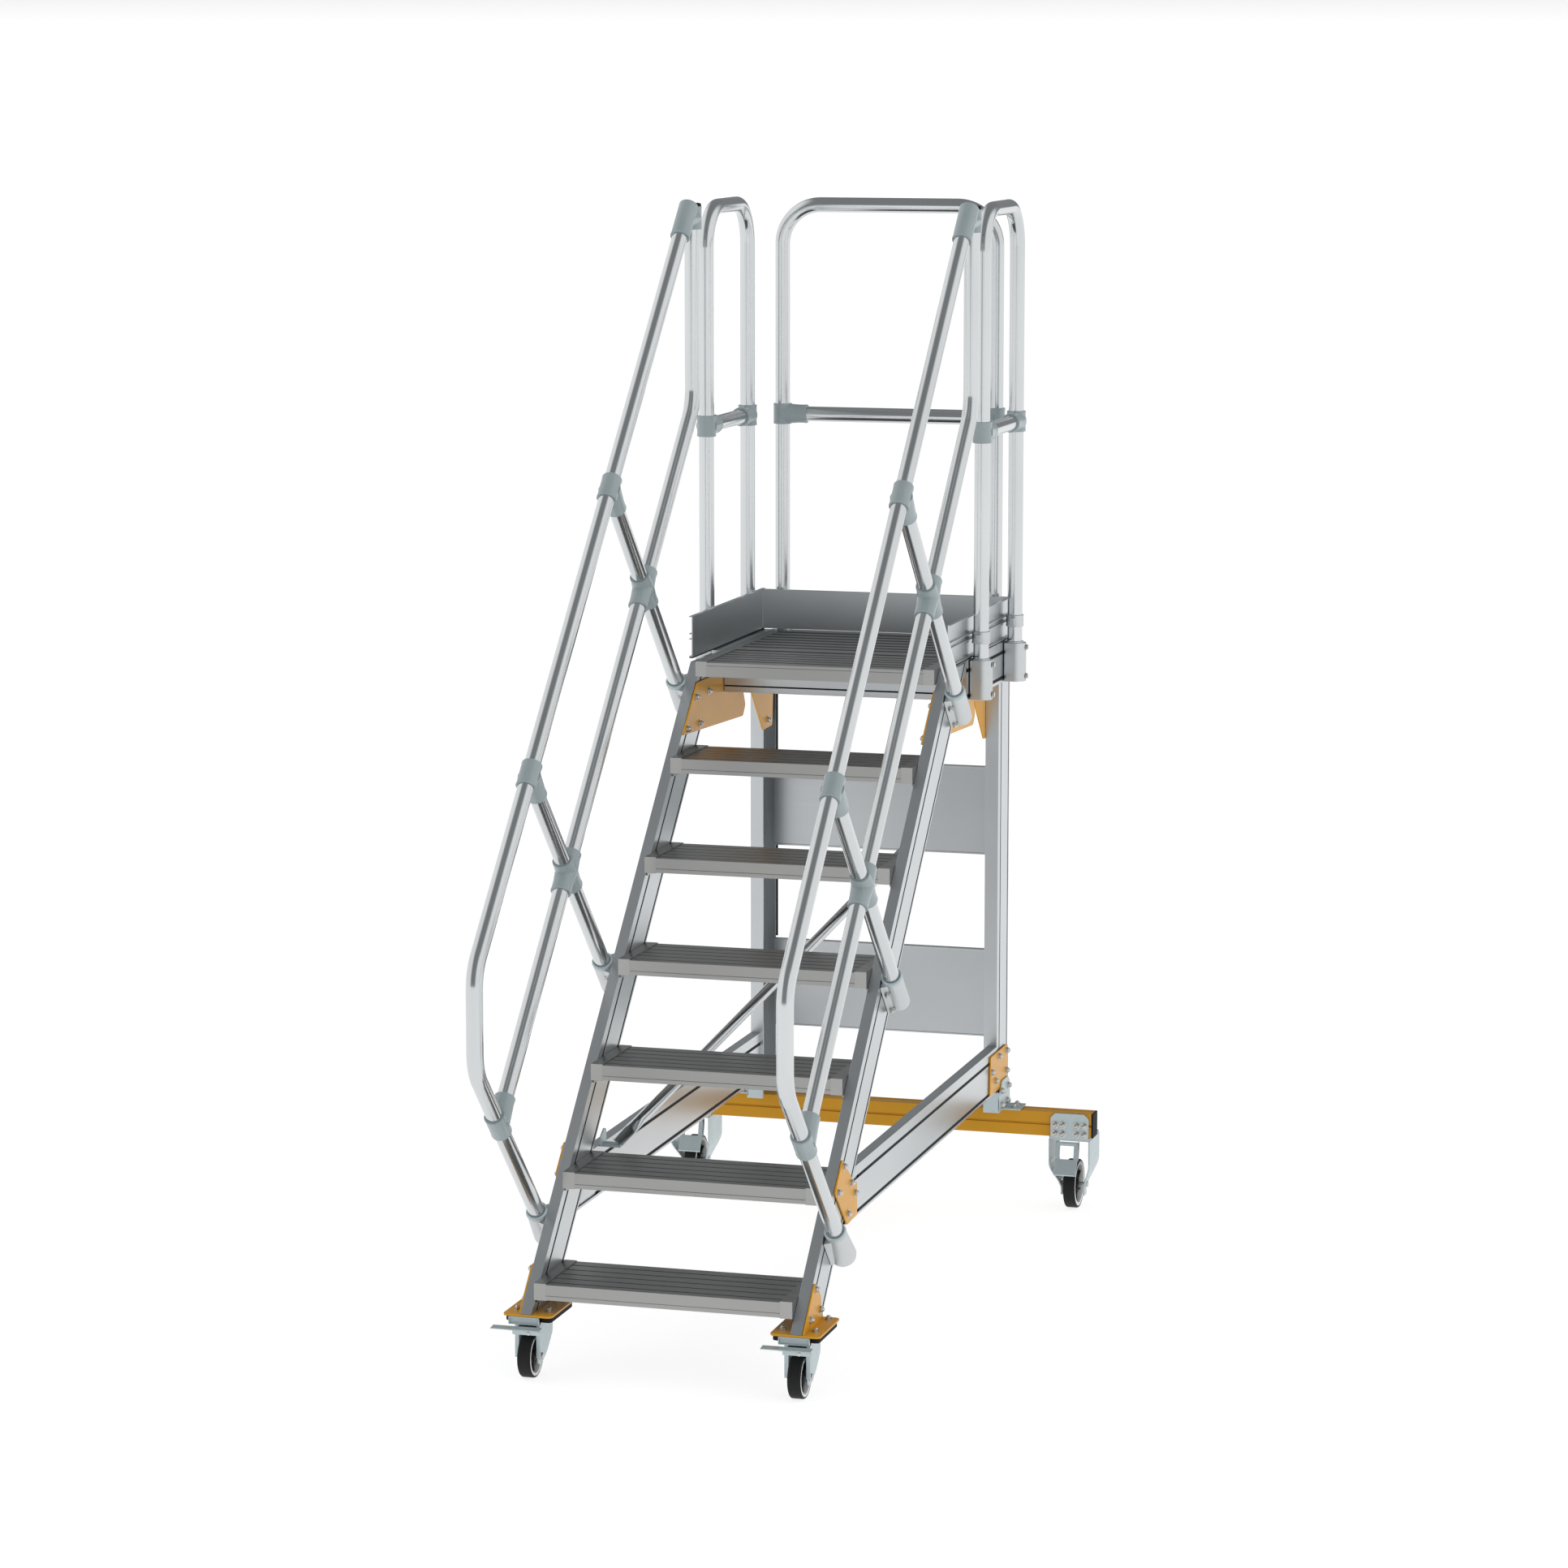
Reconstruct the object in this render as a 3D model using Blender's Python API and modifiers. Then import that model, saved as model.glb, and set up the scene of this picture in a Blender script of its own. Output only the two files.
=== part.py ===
"""Rolling platform ladder: inclined stair, guarded platform, rear outrigger and four braked castors."""
import math

import bmesh
import bpy
from mathutils import Matrix, Vector

# Stair
TREAD_HALF = 0.300
STEP_RISE = 0.2072
STEP_GOING = 0.2067
TREAD_ONE_TOP = 0.2192
TREAD_DEPTH = 0.220
TREAD_FACE = 0.0377
TREAD_COUNT = 6
END_PLATE = 0.0289
END_STEP = 0.0012
RIB_DEPTH = 0.0025
RIB_HALF = 0.0035
TREAD_RIBS = (5, 0.0250, 0.0400)
NOSING_RIBS = (5, 0.0428, 0.0405)
DECK_RIBS = (7, 0.0630, 0.0510)
DECK_RIB_HALF = 0.271
STRINGER_THICK = 0.026
BEAM_HEIGHT = 0.118
FRONT_LINE = 0.169
STRINGER_LOW = 0.1506
STRINGER_TOP = 1.4546
GROOVE_A = 0.028
GROOVE_B = 0.108
GROOVE_WIDE = 0.006
GROOVE_INNER = 0.0056
GROOVE_DEEP = 0.003
GAP = 0.0004

# Platform
DECK_TOP = 1.4624
DECK_BACK = 1.918
JOINT_Y = 1.492
NOSE_Y = 1.2402
PLATFORM_BEAM_LOW = 1.358
PLATFORM_BEAM_FRONT = 1.465
TOE_LOW = 1.4656
TOE_TOP = 1.5660
TOE_FRONT = 1.285
TOE_BACK_Y = 1.895

# Rear frame
POST_FRONT = 1.800
POST_BACK = 1.918
POST_INNER = 0.291
POST_OUTER = 0.325
BEAM_LOW = 0.311
TRAVERSE_FRONT = 1.851
TRAVERSE_BACK = 1.902
TRAVERSE_LOW = 0.194
TRAVERSE_TOP = 0.257
TRAVERSE_HALF = 0.566

# Tubes
RAIL_X = 0.350
TUBE_R = 0.019
SLEEVE_IN = 0.0194
SLEEVE_OUT = 0.0232
OUTER_RAIL_LINE = 1.198
KNEE_RAIL_LINE = 0.685
BRACE_SUMS = (2.655, 1.482)
LOW_BRACE_SUM = 0.511
RAIL_FRONT_Y = -0.233
KNEE_TOP_Y = 1.387
HANDRAIL_TOP_Y = 1.343
GUARD_NEAR_Y = 1.504
GUARD_FAR_Y = 1.862
GUARD_TOP = 2.548
BEND_R = 0.100
MID_RAIL_Z = 2.013
BACK_GUARD_X = 0.279
BACK_GUARD_Y = 1.938
SIDES = 12
# Outlines are drawn this many times larger, because the fill of a curve merges corners that are close.
DRAWN_UP = 100.0

# Castors
FRONT_X = 0.313
FRONT_AXLE_Y = 0.012
SWIVEL_X = 0.310
SWIVEL_Y = 0.077
FRONT_R = 0.050
REAR_X = 0.505
REAR_Y = 1.906
REAR_R = 0.0625
TYRE_HALF = 0.0155
AXLE_R = 0.0045
REAR_PEDAL_PIVOT = (1.8555, 0.1745)
# Rows of the rear fork arm: height, inner reach from the wheel centre, front and back edge.
REAR_ARM = (
    (0.1870, 0.0500, 1.8520, 1.9600),
    (0.1500, 0.0490, 1.8620, 1.9550),
    (0.1000, 0.0380, 1.8800, 1.9380),
    (0.0700, 0.0300, 1.8900, 1.9240),
    (0.0500, 0.0272, 1.8960, 1.9180),
    (0.0340, 0.0266, 1.8990, 1.9140),
)

# Directions along a brace and along the stair
DOWN_BACK = Vector((0.0, math.sqrt(0.5), -math.sqrt(0.5)))
UP_SLOPE = Vector((0.0, math.sqrt(0.5), math.sqrt(0.5)))

# The ladder is drawn from the foot of the stair, then moved so that its box is centred on the origin.
CENTRE_Y = 0.85826

COLOURS = {
    "aluminium": ((0.56, 0.58, 0.62), 0.85, 0.38),
    "ribbed": ((0.30, 0.31, 0.32), 0.75, 0.50),
    "tube": ((0.72, 0.73, 0.76), 0.90, 0.22),
    "gold": ((0.62, 0.36, 0.05), 0.55, 0.35),
    "zinc": ((0.38, 0.44, 0.46), 0.75, 0.40),
    "plastic": ((0.34, 0.42, 0.43), 0.00, 0.45),
    "rubber": ((0.02, 0.02, 0.02), 0.00, 0.65),
    "steel": ((0.60, 0.60, 0.58), 0.95, 0.30),
    "tyre": ((0.03, 0.03, 0.03), 0.00, 0.70),
}


def clear_scene():
    for obj in list(bpy.data.objects):
        bpy.data.objects.remove(obj, do_unlink=True)


def material_for(name, kind):
    colour, metallic, roughness = COLOURS[kind]
    mat = bpy.data.materials.new(name + "_mat")
    mat.use_nodes = True
    shader = mat.node_tree.nodes["Principled BSDF"]
    shader.inputs["Base Color"].default_value = (*colour, 1.0)
    shader.inputs["Metallic"].default_value = metallic
    shader.inputs["Roughness"].default_value = roughness
    return mat


def add_object(name, bm, kind, origin=(0.0, 0.0, 0.0), parent=None):
    bmesh.ops.recalc_face_normals(bm, faces=bm.faces)
    bmesh.ops.translate(bm, verts=bm.verts, vec=-Vector(origin))
    mesh = bpy.data.meshes.new(name)
    bm.to_mesh(mesh)
    bm.free()
    mesh.materials.append(material_for(name, kind))
    mesh.shade_smooth()
    mesh.set_sharp_from_angle(angle=math.radians(35.0))
    obj = bpy.data.objects.new(name, mesh)
    LADDER.objects.link(obj)
    place = Vector(origin) - Vector((0.0, CENTRE_Y, 0.0))
    if parent is not None:
        obj.parent = parent
        obj.matrix_parent_inverse = Matrix.Translation(-PLACES[parent.name])
    obj.location = place
    PLACES[name] = place
    return obj


def loops(bm, rings):
    """Loft between unlike sections: rings of equal length, skinned and capped."""
    made = [[bm.verts.new(point) for point in ring] for ring in rings]
    count = len(made[0])
    for low, high in zip(made, made[1:]):
        for i in range(count):
            j = (i + 1) % count
            bm.faces.new((low[i], low[j], high[j], high[i]))
    bm.faces.new(list(reversed(made[0])))
    bm.faces.new(made[-1])


def take_curve(bm, curve, matrix):
    """Adds the solid of a curve to a mesh, its caps welded on."""
    guide = bpy.data.objects.new("guide", curve)
    bpy.context.scene.collection.objects.link(guide)
    graph = bpy.context.evaluated_depsgraph_get()
    mesh = bpy.data.meshes.new_from_object(guide.evaluated_get(graph))
    mesh.transform(matrix)
    bm.from_mesh(mesh)
    bmesh.ops.remove_doubles(bm, verts=bm.verts, dist=0.00001)
    bpy.data.objects.remove(guide, do_unlink=True)
    bpy.data.curves.remove(curve)
    bpy.data.meshes.remove(mesh)


def add_spline(curve, points, cyclic):
    spline = curve.splines.new("POLY")
    spline.points.add(len(points) - 1)
    for target, point in zip(spline.points, points):
        target.co = (*point, 1.0)
    spline.use_cyclic_u = cyclic


def extrude(bm, outline, origin, across, up, along, length):
    """Prism of a flat outline: across and up span the outline, along is the length direction."""
    curve = bpy.data.curves.new("outline", "CURVE")
    curve.dimensions = "2D"
    curve.fill_mode = "BOTH"
    curve.extrude = length / 2 * DRAWN_UP
    add_spline(curve, [(a * DRAWN_UP, b * DRAWN_UP, 0.0) for a, b in outline], True)
    across, up, along = Vector(across), Vector(up), Vector(along)
    middle = Vector(origin) + along * (length / 2)
    matrix = (Matrix((across, up, along)).transposed() * (1.0 / DRAWN_UP)).to_4x4()
    matrix.translation = middle
    take_curve(bm, curve, matrix)


def box(bm, low, high):
    low, high = Vector(low), Vector(high)
    size = Matrix.Diagonal((*(high - low), 1.0))
    bmesh.ops.create_cube(bm, size=1.0, matrix=Matrix.Translation((low + high) / 2) @ size)


def plate_yz(bm, outline, x_low, x_high):
    """Flat plate standing in the YZ plane between two X values."""
    extrude(bm, outline, (x_low, 0, 0), (0, 1, 0), (0, 0, 1), (1, 0, 0), x_high - x_low)


def circle(centre, first, second, radius, count):
    step = 2 * math.pi / count
    turn = [(math.cos(step * i), math.sin(step * i)) for i in range(count)]
    return [centre + first * (radius * c) + second * (radius * s) for c, s in turn]


def axes_of(direction):
    direction = Vector(direction).normalized()
    guide = Vector((1, 0, 0)) if abs(direction.x) < 0.9 else Vector((0, 1, 0))
    first = guide.cross(direction).normalized()
    return first, direction.cross(first)


def rod(bm, start, end, radius, count=SIDES):
    start, end = Vector(start), Vector(end)
    first, second = axes_of(end - start)
    turn = Matrix((first, second, (end - start).normalized())).transposed().to_4x4()
    matrix = Matrix.Translation((start + end) / 2) @ turn
    depth = (end - start).length
    size = {"segments": count, "radius1": radius, "radius2": radius, "depth": depth}
    bmesh.ops.create_cone(bm, cap_ends=True, matrix=matrix, **size)


def rounded_path(corners, radius, steps):
    """Centre line through the corners, each inner corner turned into an arc."""
    corners = [Vector(c) for c in corners]
    path = [corners[0]]
    for before, here, after in zip(corners, corners[1:], corners[2:]):
        back = (before - here).normalized()
        ahead = (after - here).normalized()
        angle = back.angle(ahead)
        trim = radius / math.tan(angle / 2)
        centre = here + (back + ahead).normalized() * (radius / math.sin(angle / 2))
        start = here + back * trim - centre
        end = here + ahead * trim - centre
        sweep = start.angle(end)
        for i in range(steps + 1):
            part = i / steps
            low = math.sin((1 - part) * sweep) / math.sin(sweep)
            high = math.sin(part * sweep) / math.sin(sweep)
            path.append(centre + start * low + end * high)
    path.append(corners[-1])
    return path


def tube(bm, corners, radius=TUBE_R, bend=BEND_R, steps=5):
    """Round bar along the corners, each corner turned into a bend."""
    curve = bpy.data.curves.new("centre_line", "CURVE")
    curve.dimensions = "3D"
    curve.bevel_depth = radius
    curve.bevel_resolution = (SIDES - 4) // 2
    curve.use_fill_caps = True
    add_spline(curve, rounded_path(corners, bend, steps), False)
    take_curve(bm, curve, Matrix.Identity(4))


def combine(solids, cutters=()):
    """One body: the overlapping solids joined, then the cutters taken away."""
    helpers = []
    for bm in list(solids) + list(cutters):
        bmesh.ops.recalc_face_normals(bm, faces=bm.faces)
        mesh = bpy.data.meshes.new("helper")
        bm.to_mesh(mesh)
        bm.free()
        obj = bpy.data.objects.new("helper", mesh)
        bpy.context.scene.collection.objects.link(obj)
        helpers.append(obj)
    for i, other in enumerate(helpers[1:], 1):
        step = helpers[0].modifiers.new("step", "BOOLEAN")
        step.operation = "UNION" if i < len(solids) else "DIFFERENCE"
        step.solver = "EXACT"
        step.object = other
    graph = bpy.context.evaluated_depsgraph_get()
    mesh = bpy.data.meshes.new_from_object(helpers[0].evaluated_get(graph))
    bm = bmesh.new()
    bm.from_mesh(mesh)
    bpy.data.meshes.remove(mesh)
    for obj in helpers:
        data = obj.data
        bpy.data.objects.remove(obj, do_unlink=True)
        bpy.data.meshes.remove(data)
    bmesh.ops.remove_doubles(bm, verts=bm.verts, dist=0.00002)
    return bm


def side_mesh(side, made):
    """Mesh of one side: side +1 keeps the right-hand shape, -1 mirrors it to the left."""
    if side < 0:
        for vert in made.verts:
            vert.co.x = -vert.co.x
        bmesh.ops.reverse_faces(made, faces=made.faces)
    return made


def plain(build, *values):
    bm = bmesh.new()
    build(bm, *values)
    return bm


def beam_outline(thick, height, grooves=(GROOVE_A, GROOVE_B)):
    """Rectangle of thickness by height with a slit at each groove height on both faces."""
    points = [(0.0, 0.0), (thick, 0.0)]
    for at in sorted(grooves):
        low, high = at - GROOVE_WIDE / 2, at + GROOVE_WIDE / 2
        points += [(thick, low), (thick - GROOVE_DEEP, low), (thick - GROOVE_DEEP, high), (thick, high)]
    points += [(thick, height), (0.0, height)]
    for at in sorted(grooves, reverse=True):
        low, high = at - GROOVE_INNER / 2, at + GROOVE_INNER / 2
        points += [(0.0, high), (GROOVE_DEEP, high), (GROOVE_DEEP, low), (0.0, low)]
    return points


def build_stringer():
    """Side rail of the stair, cut level at both ends, with three split sockets on its outer face."""
    outline = beam_outline(STRINGER_THICK, BEAM_HEIGHT)
    origin = (TREAD_HALF, STRINGER_LOW - FRONT_LINE - 0.03, STRINGER_LOW - 0.03)
    length = (STRINGER_TOP - STRINGER_LOW + 0.15) * math.sqrt(2.0)
    solids, bores = [bmesh.new()], [bmesh.new(), bmesh.new()]
    extrude(solids[0], outline, origin, (1, 0, 0), DOWN_BACK, UP_SLOPE, length)
    box(bores[0], (0.280, -0.300, 0.000), (0.340, 0.300, STRINGER_LOW))
    box(bores[1], (0.280, 1.100, STRINGER_TOP), (0.340, 1.700, 1.700))
    for total in BRACE_SUMS + (LOW_BRACE_SUM,):
        start = low_entry(total)
        barrel, foot, bore = bmesh.new(), bmesh.new(), bmesh.new()
        rod(barrel, start + DOWN_BACK * 0.0013, start + DOWN_BACK * 0.1080, SLEEVE_OUT)
        shape = [(0.0100, -0.0140), (0.1000, -0.0140), (0.1000, 0.0140), (0.0100, 0.0140)]
        extrude(foot, shape, Vector((0.3180, start.y, start.z)), DOWN_BACK, UP_SLOPE, (1, 0, 0), 0.0120)
        rod(bore, start - DOWN_BACK * 0.02, start + DOWN_BACK * 0.13, SLEEVE_IN)
        solids += [barrel, foot]
        bores.append(bore)
        ear = [(0.0060, 0.0205), (0.1000, 0.0205), (0.0900, 0.0450), (0.0120, 0.0450)]
        for x_low in (0.3380, 0.3520):
            block = bmesh.new()
            extrude(block, ear, Vector((x_low, start.y, start.z)), DOWN_BACK, -UP_SLOPE, (1, 0, 0), 0.0100)
            solids.append(block)
    return combine(solids, bores)


def build_side_beam():
    """Level beam from the back edge of the stringer to the rear post."""
    outline = beam_outline(STRINGER_THICK, BEAM_HEIGHT, (0.010, BEAM_HEIGHT - GROOVE_A))
    back_line = FRONT_LINE - BEAM_HEIGHT * math.sqrt(2.0) - 2 * GAP
    low, high = BEAM_LOW - 0.010, BEAM_LOW + BEAM_HEIGHT + 0.010
    front = low - back_line - 0.010
    beam, cutter = bmesh.new(), bmesh.new()
    length = POST_FRONT - GAP - front
    extrude(beam, outline, (TREAD_HALF, front, BEAM_LOW), (1, 0, 0), (0, 0, 1), (0, 1, 0), length)
    slope = [(front - 0.050, low), (low - back_line, low), (high - back_line, high), (front - 0.050, high)]
    plate_yz(cutter, slope, TREAD_HALF - 0.010, TREAD_HALF + 0.040)
    return combine([beam], [cutter])


def ribbed_outline(depth, ribs, first, pitch):
    """Tread section: a face with a shallow step, grooves along the top and two feet below."""
    face, low = TREAD_FACE, -TREAD_FACE
    points = [(0.0, 0.0), (0.0, -face * 0.73), (0.0015, -face * 0.75), (0.0015, low), (0.018, low)]
    points += [(0.024, low + 0.0155), (depth - 0.016, low + 0.0155), (depth - 0.012, low)]
    points += [(depth, low), (depth, 0.0)]
    for i in reversed(range(ribs)):
        y = first + i * pitch
        points += [(y + RIB_HALF, 0.0), (y + RIB_HALF, -RIB_DEPTH)]
        points += [(y - RIB_HALF, -RIB_DEPTH), (y - RIB_HALF, 0.0)]
    return points


def build_tread(index):
    """Grooved tread between two smooth end plates, which stand a little proud."""
    y = index * STEP_GOING
    z = TREAD_ONE_TOP + index * STEP_RISE
    inner, outer = TREAD_HALF - END_PLATE, TREAD_HALF - GAP
    body, plates = bmesh.new(), [bmesh.new(), bmesh.new()]
    middle = ribbed_outline(TREAD_DEPTH, *TREAD_RIBS)
    start = (-inner - 0.003, y + 0.0004, z - END_STEP)
    extrude(body, middle, start, (0, 1, 0), (0, 0, 1), (1, 0, 0), 2 * inner + 0.006)
    low = -TREAD_FACE - 0.012
    outline = [(0.0, 0.0), (0.0, -TREAD_FACE), (0.018, low), (TREAD_DEPTH - 0.012, low)]
    outline += [(TREAD_DEPTH, -TREAD_FACE), (TREAD_DEPTH, 0.0)]
    for plate, x in zip(plates, (-outer, inner)):
        extrude(plate, outline, (x, y, z), (0, 1, 0), (0, 0, 1), (1, 0, 0), outer - inner)
    return combine([body] + plates)


def build_nosing():
    outline = ribbed_outline(JOINT_Y - GAP - NOSE_Y, *NOSING_RIBS)
    half = TREAD_HALF - GAP
    bm = bmesh.new()
    extrude(bm, outline, (-half, NOSE_Y, DECK_TOP), (0, 1, 0), (0, 0, 1), (1, 0, 0), 2 * half)
    return bm


def build_rear_deck():
    """Deck plank whose grooves stop at the smooth strips along its sides."""
    outline = ribbed_outline(DECK_BACK - JOINT_Y, 0, 0.0, 0.0)
    half = TREAD_HALF - GAP
    plank, cutters = bmesh.new(), []
    extrude(plank, outline, (-half, JOINT_Y, DECK_TOP), (0, 1, 0), (0, 0, 1), (1, 0, 0), 2 * half)
    count, first, pitch = DECK_RIBS
    for i in range(count):
        y = JOINT_Y + first + i * pitch
        groove = bmesh.new()
        low = (-DECK_RIB_HALF, y - RIB_HALF, DECK_TOP - RIB_DEPTH)
        box(groove, low, (DECK_RIB_HALF, y + RIB_HALF, DECK_TOP + 0.005))
        cutters.append(groove)
    return combine([plank], cutters)


def build_platform_side_beam():
    """Beam under the platform edge with the two upright sockets of the side guard."""
    height = DECK_TOP - 0.001 - PLATFORM_BEAM_LOW
    outline = beam_outline(STRINGER_THICK, height, (0.010, height - GROOVE_A))
    origin = (TREAD_HALF, PLATFORM_BEAM_FRONT, PLATFORM_BEAM_LOW)
    solids = [bmesh.new()]
    extrude(solids[0], outline, origin, (1, 0, 0), (0, 0, 1), (0, 1, 0), POST_BACK - PLATFORM_BEAM_FRONT)
    bores = []
    for y in (GUARD_NEAR_Y, GUARD_FAR_Y):
        add_socket(solids, bores, (RAIL_X, y), (0.318, 0.379, y - 0.025, y + 0.025))
    return combine(solids, bores)


def add_socket(solids, bores, centre, limits):
    """Upright socket block with chamfered outer corners, and the bore for the guard leg."""
    low, high = PLATFORM_BEAM_LOW + 0.001, PLATFORM_BEAM_LOW + 0.099
    x_low, x_high, y_low, y_high = limits
    cut = 0.007
    outline = [(x_low + cut, y_low), (x_high - cut, y_low), (x_high, y_low + cut), (x_high, y_high - cut)]
    outline += [(x_high - cut, y_high), (x_low + cut, y_high), (x_low, y_high - cut), (x_low, y_low + cut)]
    block, bore = bmesh.new(), bmesh.new()
    extrude(block, outline, (0, 0, low), (1, 0, 0), (0, 1, 0), (0, 0, 1), high - low)
    rod(bore, (*centre, low - 0.01), (*centre, high + 0.01), SLEEVE_IN)
    solids.append(block)
    bores.append(bore)


def build_platform_rear_beam():
    """Beam under the back edge of the deck with two sockets behind it for the back guard."""
    solids, bores = [bmesh.new()], []
    build_cross_beam(solids[0], POST_BACK - STRINGER_THICK, PLATFORM_BEAM_LOW, 0.2840, 0.0660, (0.020,))
    for side in (-1, 1):
        x = side * BACK_GUARD_X
        add_socket(solids, bores, (x, BACK_GUARD_Y), (x - 0.030, x + 0.030, 1.9260, 1.9650))
        foot = bmesh.new()
        box(foot, (side * 0.2665 - 0.0165, 1.9100, 1.3600), (side * 0.2665 + 0.0165, 1.9300, 1.4200))
        solids.append(foot)
    return combine(solids, bores)


def build_cross_beam(bm, y_low, z_low, half, height, grooves):
    outline = beam_outline(STRINGER_THICK, height, grooves)
    extrude(bm, outline, (-half, y_low, z_low), (0, 1, 0), (0, 0, 1), (1, 0, 0), 2 * half)


def toe_outline():
    """Section of a toe board, web on the inside and four lips outward."""
    height = TOE_TOP - TOE_LOW
    web, lip, thick = 0.003, 0.0097, 0.0025
    points = [(0.0, 0.0), (lip, 0.0), (lip, thick), (web, thick)]
    for at in (0.043, 0.056):
        points += [(web, at), (lip, at), (lip, at + thick), (web, at + thick)]
    points += [(web, height - thick), (lip, height - thick), (lip, height), (0.0, height)]
    return points


def build_toe_side(bm):
    origin = (0.3203, TOE_FRONT, TOE_LOW)
    extrude(bm, toe_outline(), origin, (1, 0, 0), (0, 0, 1), (0, 1, 0), POST_BACK + 0.006 - TOE_FRONT)


def build_toe_back(bm):
    half = 0.3199
    extrude(bm, toe_outline(), (-half, TOE_BACK_Y, TOE_LOW), (0, 1, 0), (0, 0, 1), (1, 0, 0), 2 * half)


def build_post(bm):
    wall, depth = 0.003, POST_BACK - POST_FRONT
    x_in, x_out = POST_INNER, POST_OUTER
    points = [(x_out, 0.0)]
    for at in (GROOVE_A, GROOVE_B):
        low, high = at - 0.0015, at + 0.0015
        points += [(x_out, low), (x_out - 0.0015, low), (x_out - 0.0015, high), (x_out, high)]
    points += [(x_out, depth), (x_in, depth), (x_in, depth - wall), (x_out - wall, depth - wall)]
    points += [(x_out - wall, wall), (x_in, wall), (x_in, 0.0)]
    origin = (0.0, POST_FRONT, TRAVERSE_TOP + GAP)
    length = PLATFORM_BEAM_LOW - TRAVERSE_TOP - 2 * GAP
    extrude(bm, points, origin, (1, 0, 0), (0, 1, 0), (0, 0, 1), length)


def build_panel(bm, z_low):
    half = POST_INNER - 0.0005
    front = 1.894
    points = [(0.0, 0.0), (0.020, 0.0), (0.020, 0.226), (0.0, 0.226)]
    points += [(0.0, 0.222), (0.0015, 0.222), (0.0015, 0.004), (0.0, 0.004)]
    extrude(bm, points, (-half, front, z_low), (0, 1, 0), (0, 0, 1), (1, 0, 0), 2 * half)


def build_brace():
    """Diagonal tube under the stair with flattened ends and a lug at each end."""
    low = Vector((-0.262, 0.4930, 0.4325))
    high = Vector((0.297, 1.1453, 1.0850))
    line = (high - low).normalized()
    side = line.cross(Vector((0, -0.7071, 0.7071))).normalized()
    up = side.cross(line)
    flat, round_end = (0.0160, 0.0030), (0.0125, 0.0125)
    stations = [(low, flat), (low + line * 0.050, flat), (low + line * 0.080, round_end)]
    stations += [(high - line * 0.080, round_end), (high - line * 0.050, flat), (high, flat)]
    rings = []
    for centre, (wide, thin) in stations:
        rings.append(circle(centre, side * wide, up * thin, 1.0, SIDES))
    solids = [bmesh.new(), bmesh.new(), bmesh.new()]
    loops(solids[0], rings)
    box(solids[1], (-0.2996, 0.4790, 0.4240), (-0.2500, 0.5120, 0.4335))
    lug = [(1.0400, 1.0400), (1.0900, 1.0900), (1.1500, 1.0950), (1.1500, 1.0750)]
    plate_yz(solids[2], lug, 0.3030, 0.3090)
    return combine(solids)


def build_gusset_stair(bm):
    outline = [(0.3060, 0.4730), (0.4020, 0.4000), (0.4300, 0.3930), (0.4300, 0.3180)]
    outline += [(0.3460, 0.3125), (0.2420, 0.4090)]
    plate_yz(bm, outline, 0.3265, 0.3305)


def build_gusset_platform(bm):
    outline = [(1.1250, 1.2960), (1.6350, 1.2750), (1.6570, 1.3010), (1.6000, 1.4100), (1.2450, 1.4100)]
    plate_yz(bm, outline, 0.2955, 0.2995)


def build_gusset_rear(bm):
    outline = [(1.6400, 1.4150), (1.6400, 1.3750), (1.7860, 1.2180), (1.8670, 1.2200), (1.8870, 1.4150)]
    plate_yz(bm, outline, 0.2865, 0.2905)


def build_gusset_foot(bm):
    outline = [(1.7120, 0.3180), (1.9050, 0.3180), (1.9050, 0.4080), (1.8950, 0.4180), (1.7180, 0.4180)]
    plate_yz(bm, outline, 0.3265, 0.3305)


def build_traverse(bm):
    height = TRAVERSE_TOP - TRAVERSE_LOW
    depth = TRAVERSE_BACK - TRAVERSE_FRONT
    mid = height / 2
    points = [(0.0, 0.0), (depth, 0.0), (depth, mid - 0.002), (depth - 0.003, mid - 0.002)]
    points += [(depth - 0.003, mid + 0.002), (depth, mid + 0.002), (depth, height), (0.0, height)]
    points += [(0.0, mid + 0.002), (0.003, mid + 0.002), (0.003, mid - 0.002), (0.0, mid - 0.002)]
    half = TRAVERSE_HALF
    extrude(bm, points, (-half, TRAVERSE_FRONT, TRAVERSE_LOW), (0, 1, 0), (0, 0, 1), (1, 0, 0), 2 * half)


def build_foot_angle():
    """Bracket that joins the rear post to the traverse: upright plate, front plate and flange."""
    plate = [(1.7955, 0.2578), (1.9100, 0.2578), (1.9100, 0.3200), (1.8900, 0.3360)]
    plate += [(1.8300, 0.3360), (1.7955, 0.3000)]
    solids = [bmesh.new(), bmesh.new(), bmesh.new()]
    plate_yz(solids[0], plate, 0.3310, 0.3345)
    box(solids[1], (0.3320, 1.8400, 0.2578), (0.3780, 1.9120, 0.2615))
    box(solids[2], (0.2920, 1.7955, 0.2578), (0.3320, 1.7995, 0.3105))
    return combine(solids)


def low_entry(total):
    """Point on the front edge of the stringer where a brace with this Y+Z sum meets it."""
    return Vector((RAIL_X, (total - FRONT_LINE) / 2, (total + FRONT_LINE) / 2))


def on_rail(line, total):
    return Vector((RAIL_X, (total - line) / 2, (total + line) / 2))


def build_handrail(bm):
    top = Vector((RAIL_X, HANDRAIL_TOP_Y, HANDRAIL_TOP_Y + OUTER_RAIL_LINE))
    corner = Vector((RAIL_X, RAIL_FRONT_Y, RAIL_FRONT_Y + OUTER_RAIL_LINE))
    knee = Vector((RAIL_X, RAIL_FRONT_Y, LOW_BRACE_SUM - RAIL_FRONT_Y))
    end = low_entry(LOW_BRACE_SUM) + DOWN_BACK * 0.085
    tube(bm, [top, corner, knee, end])


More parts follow.
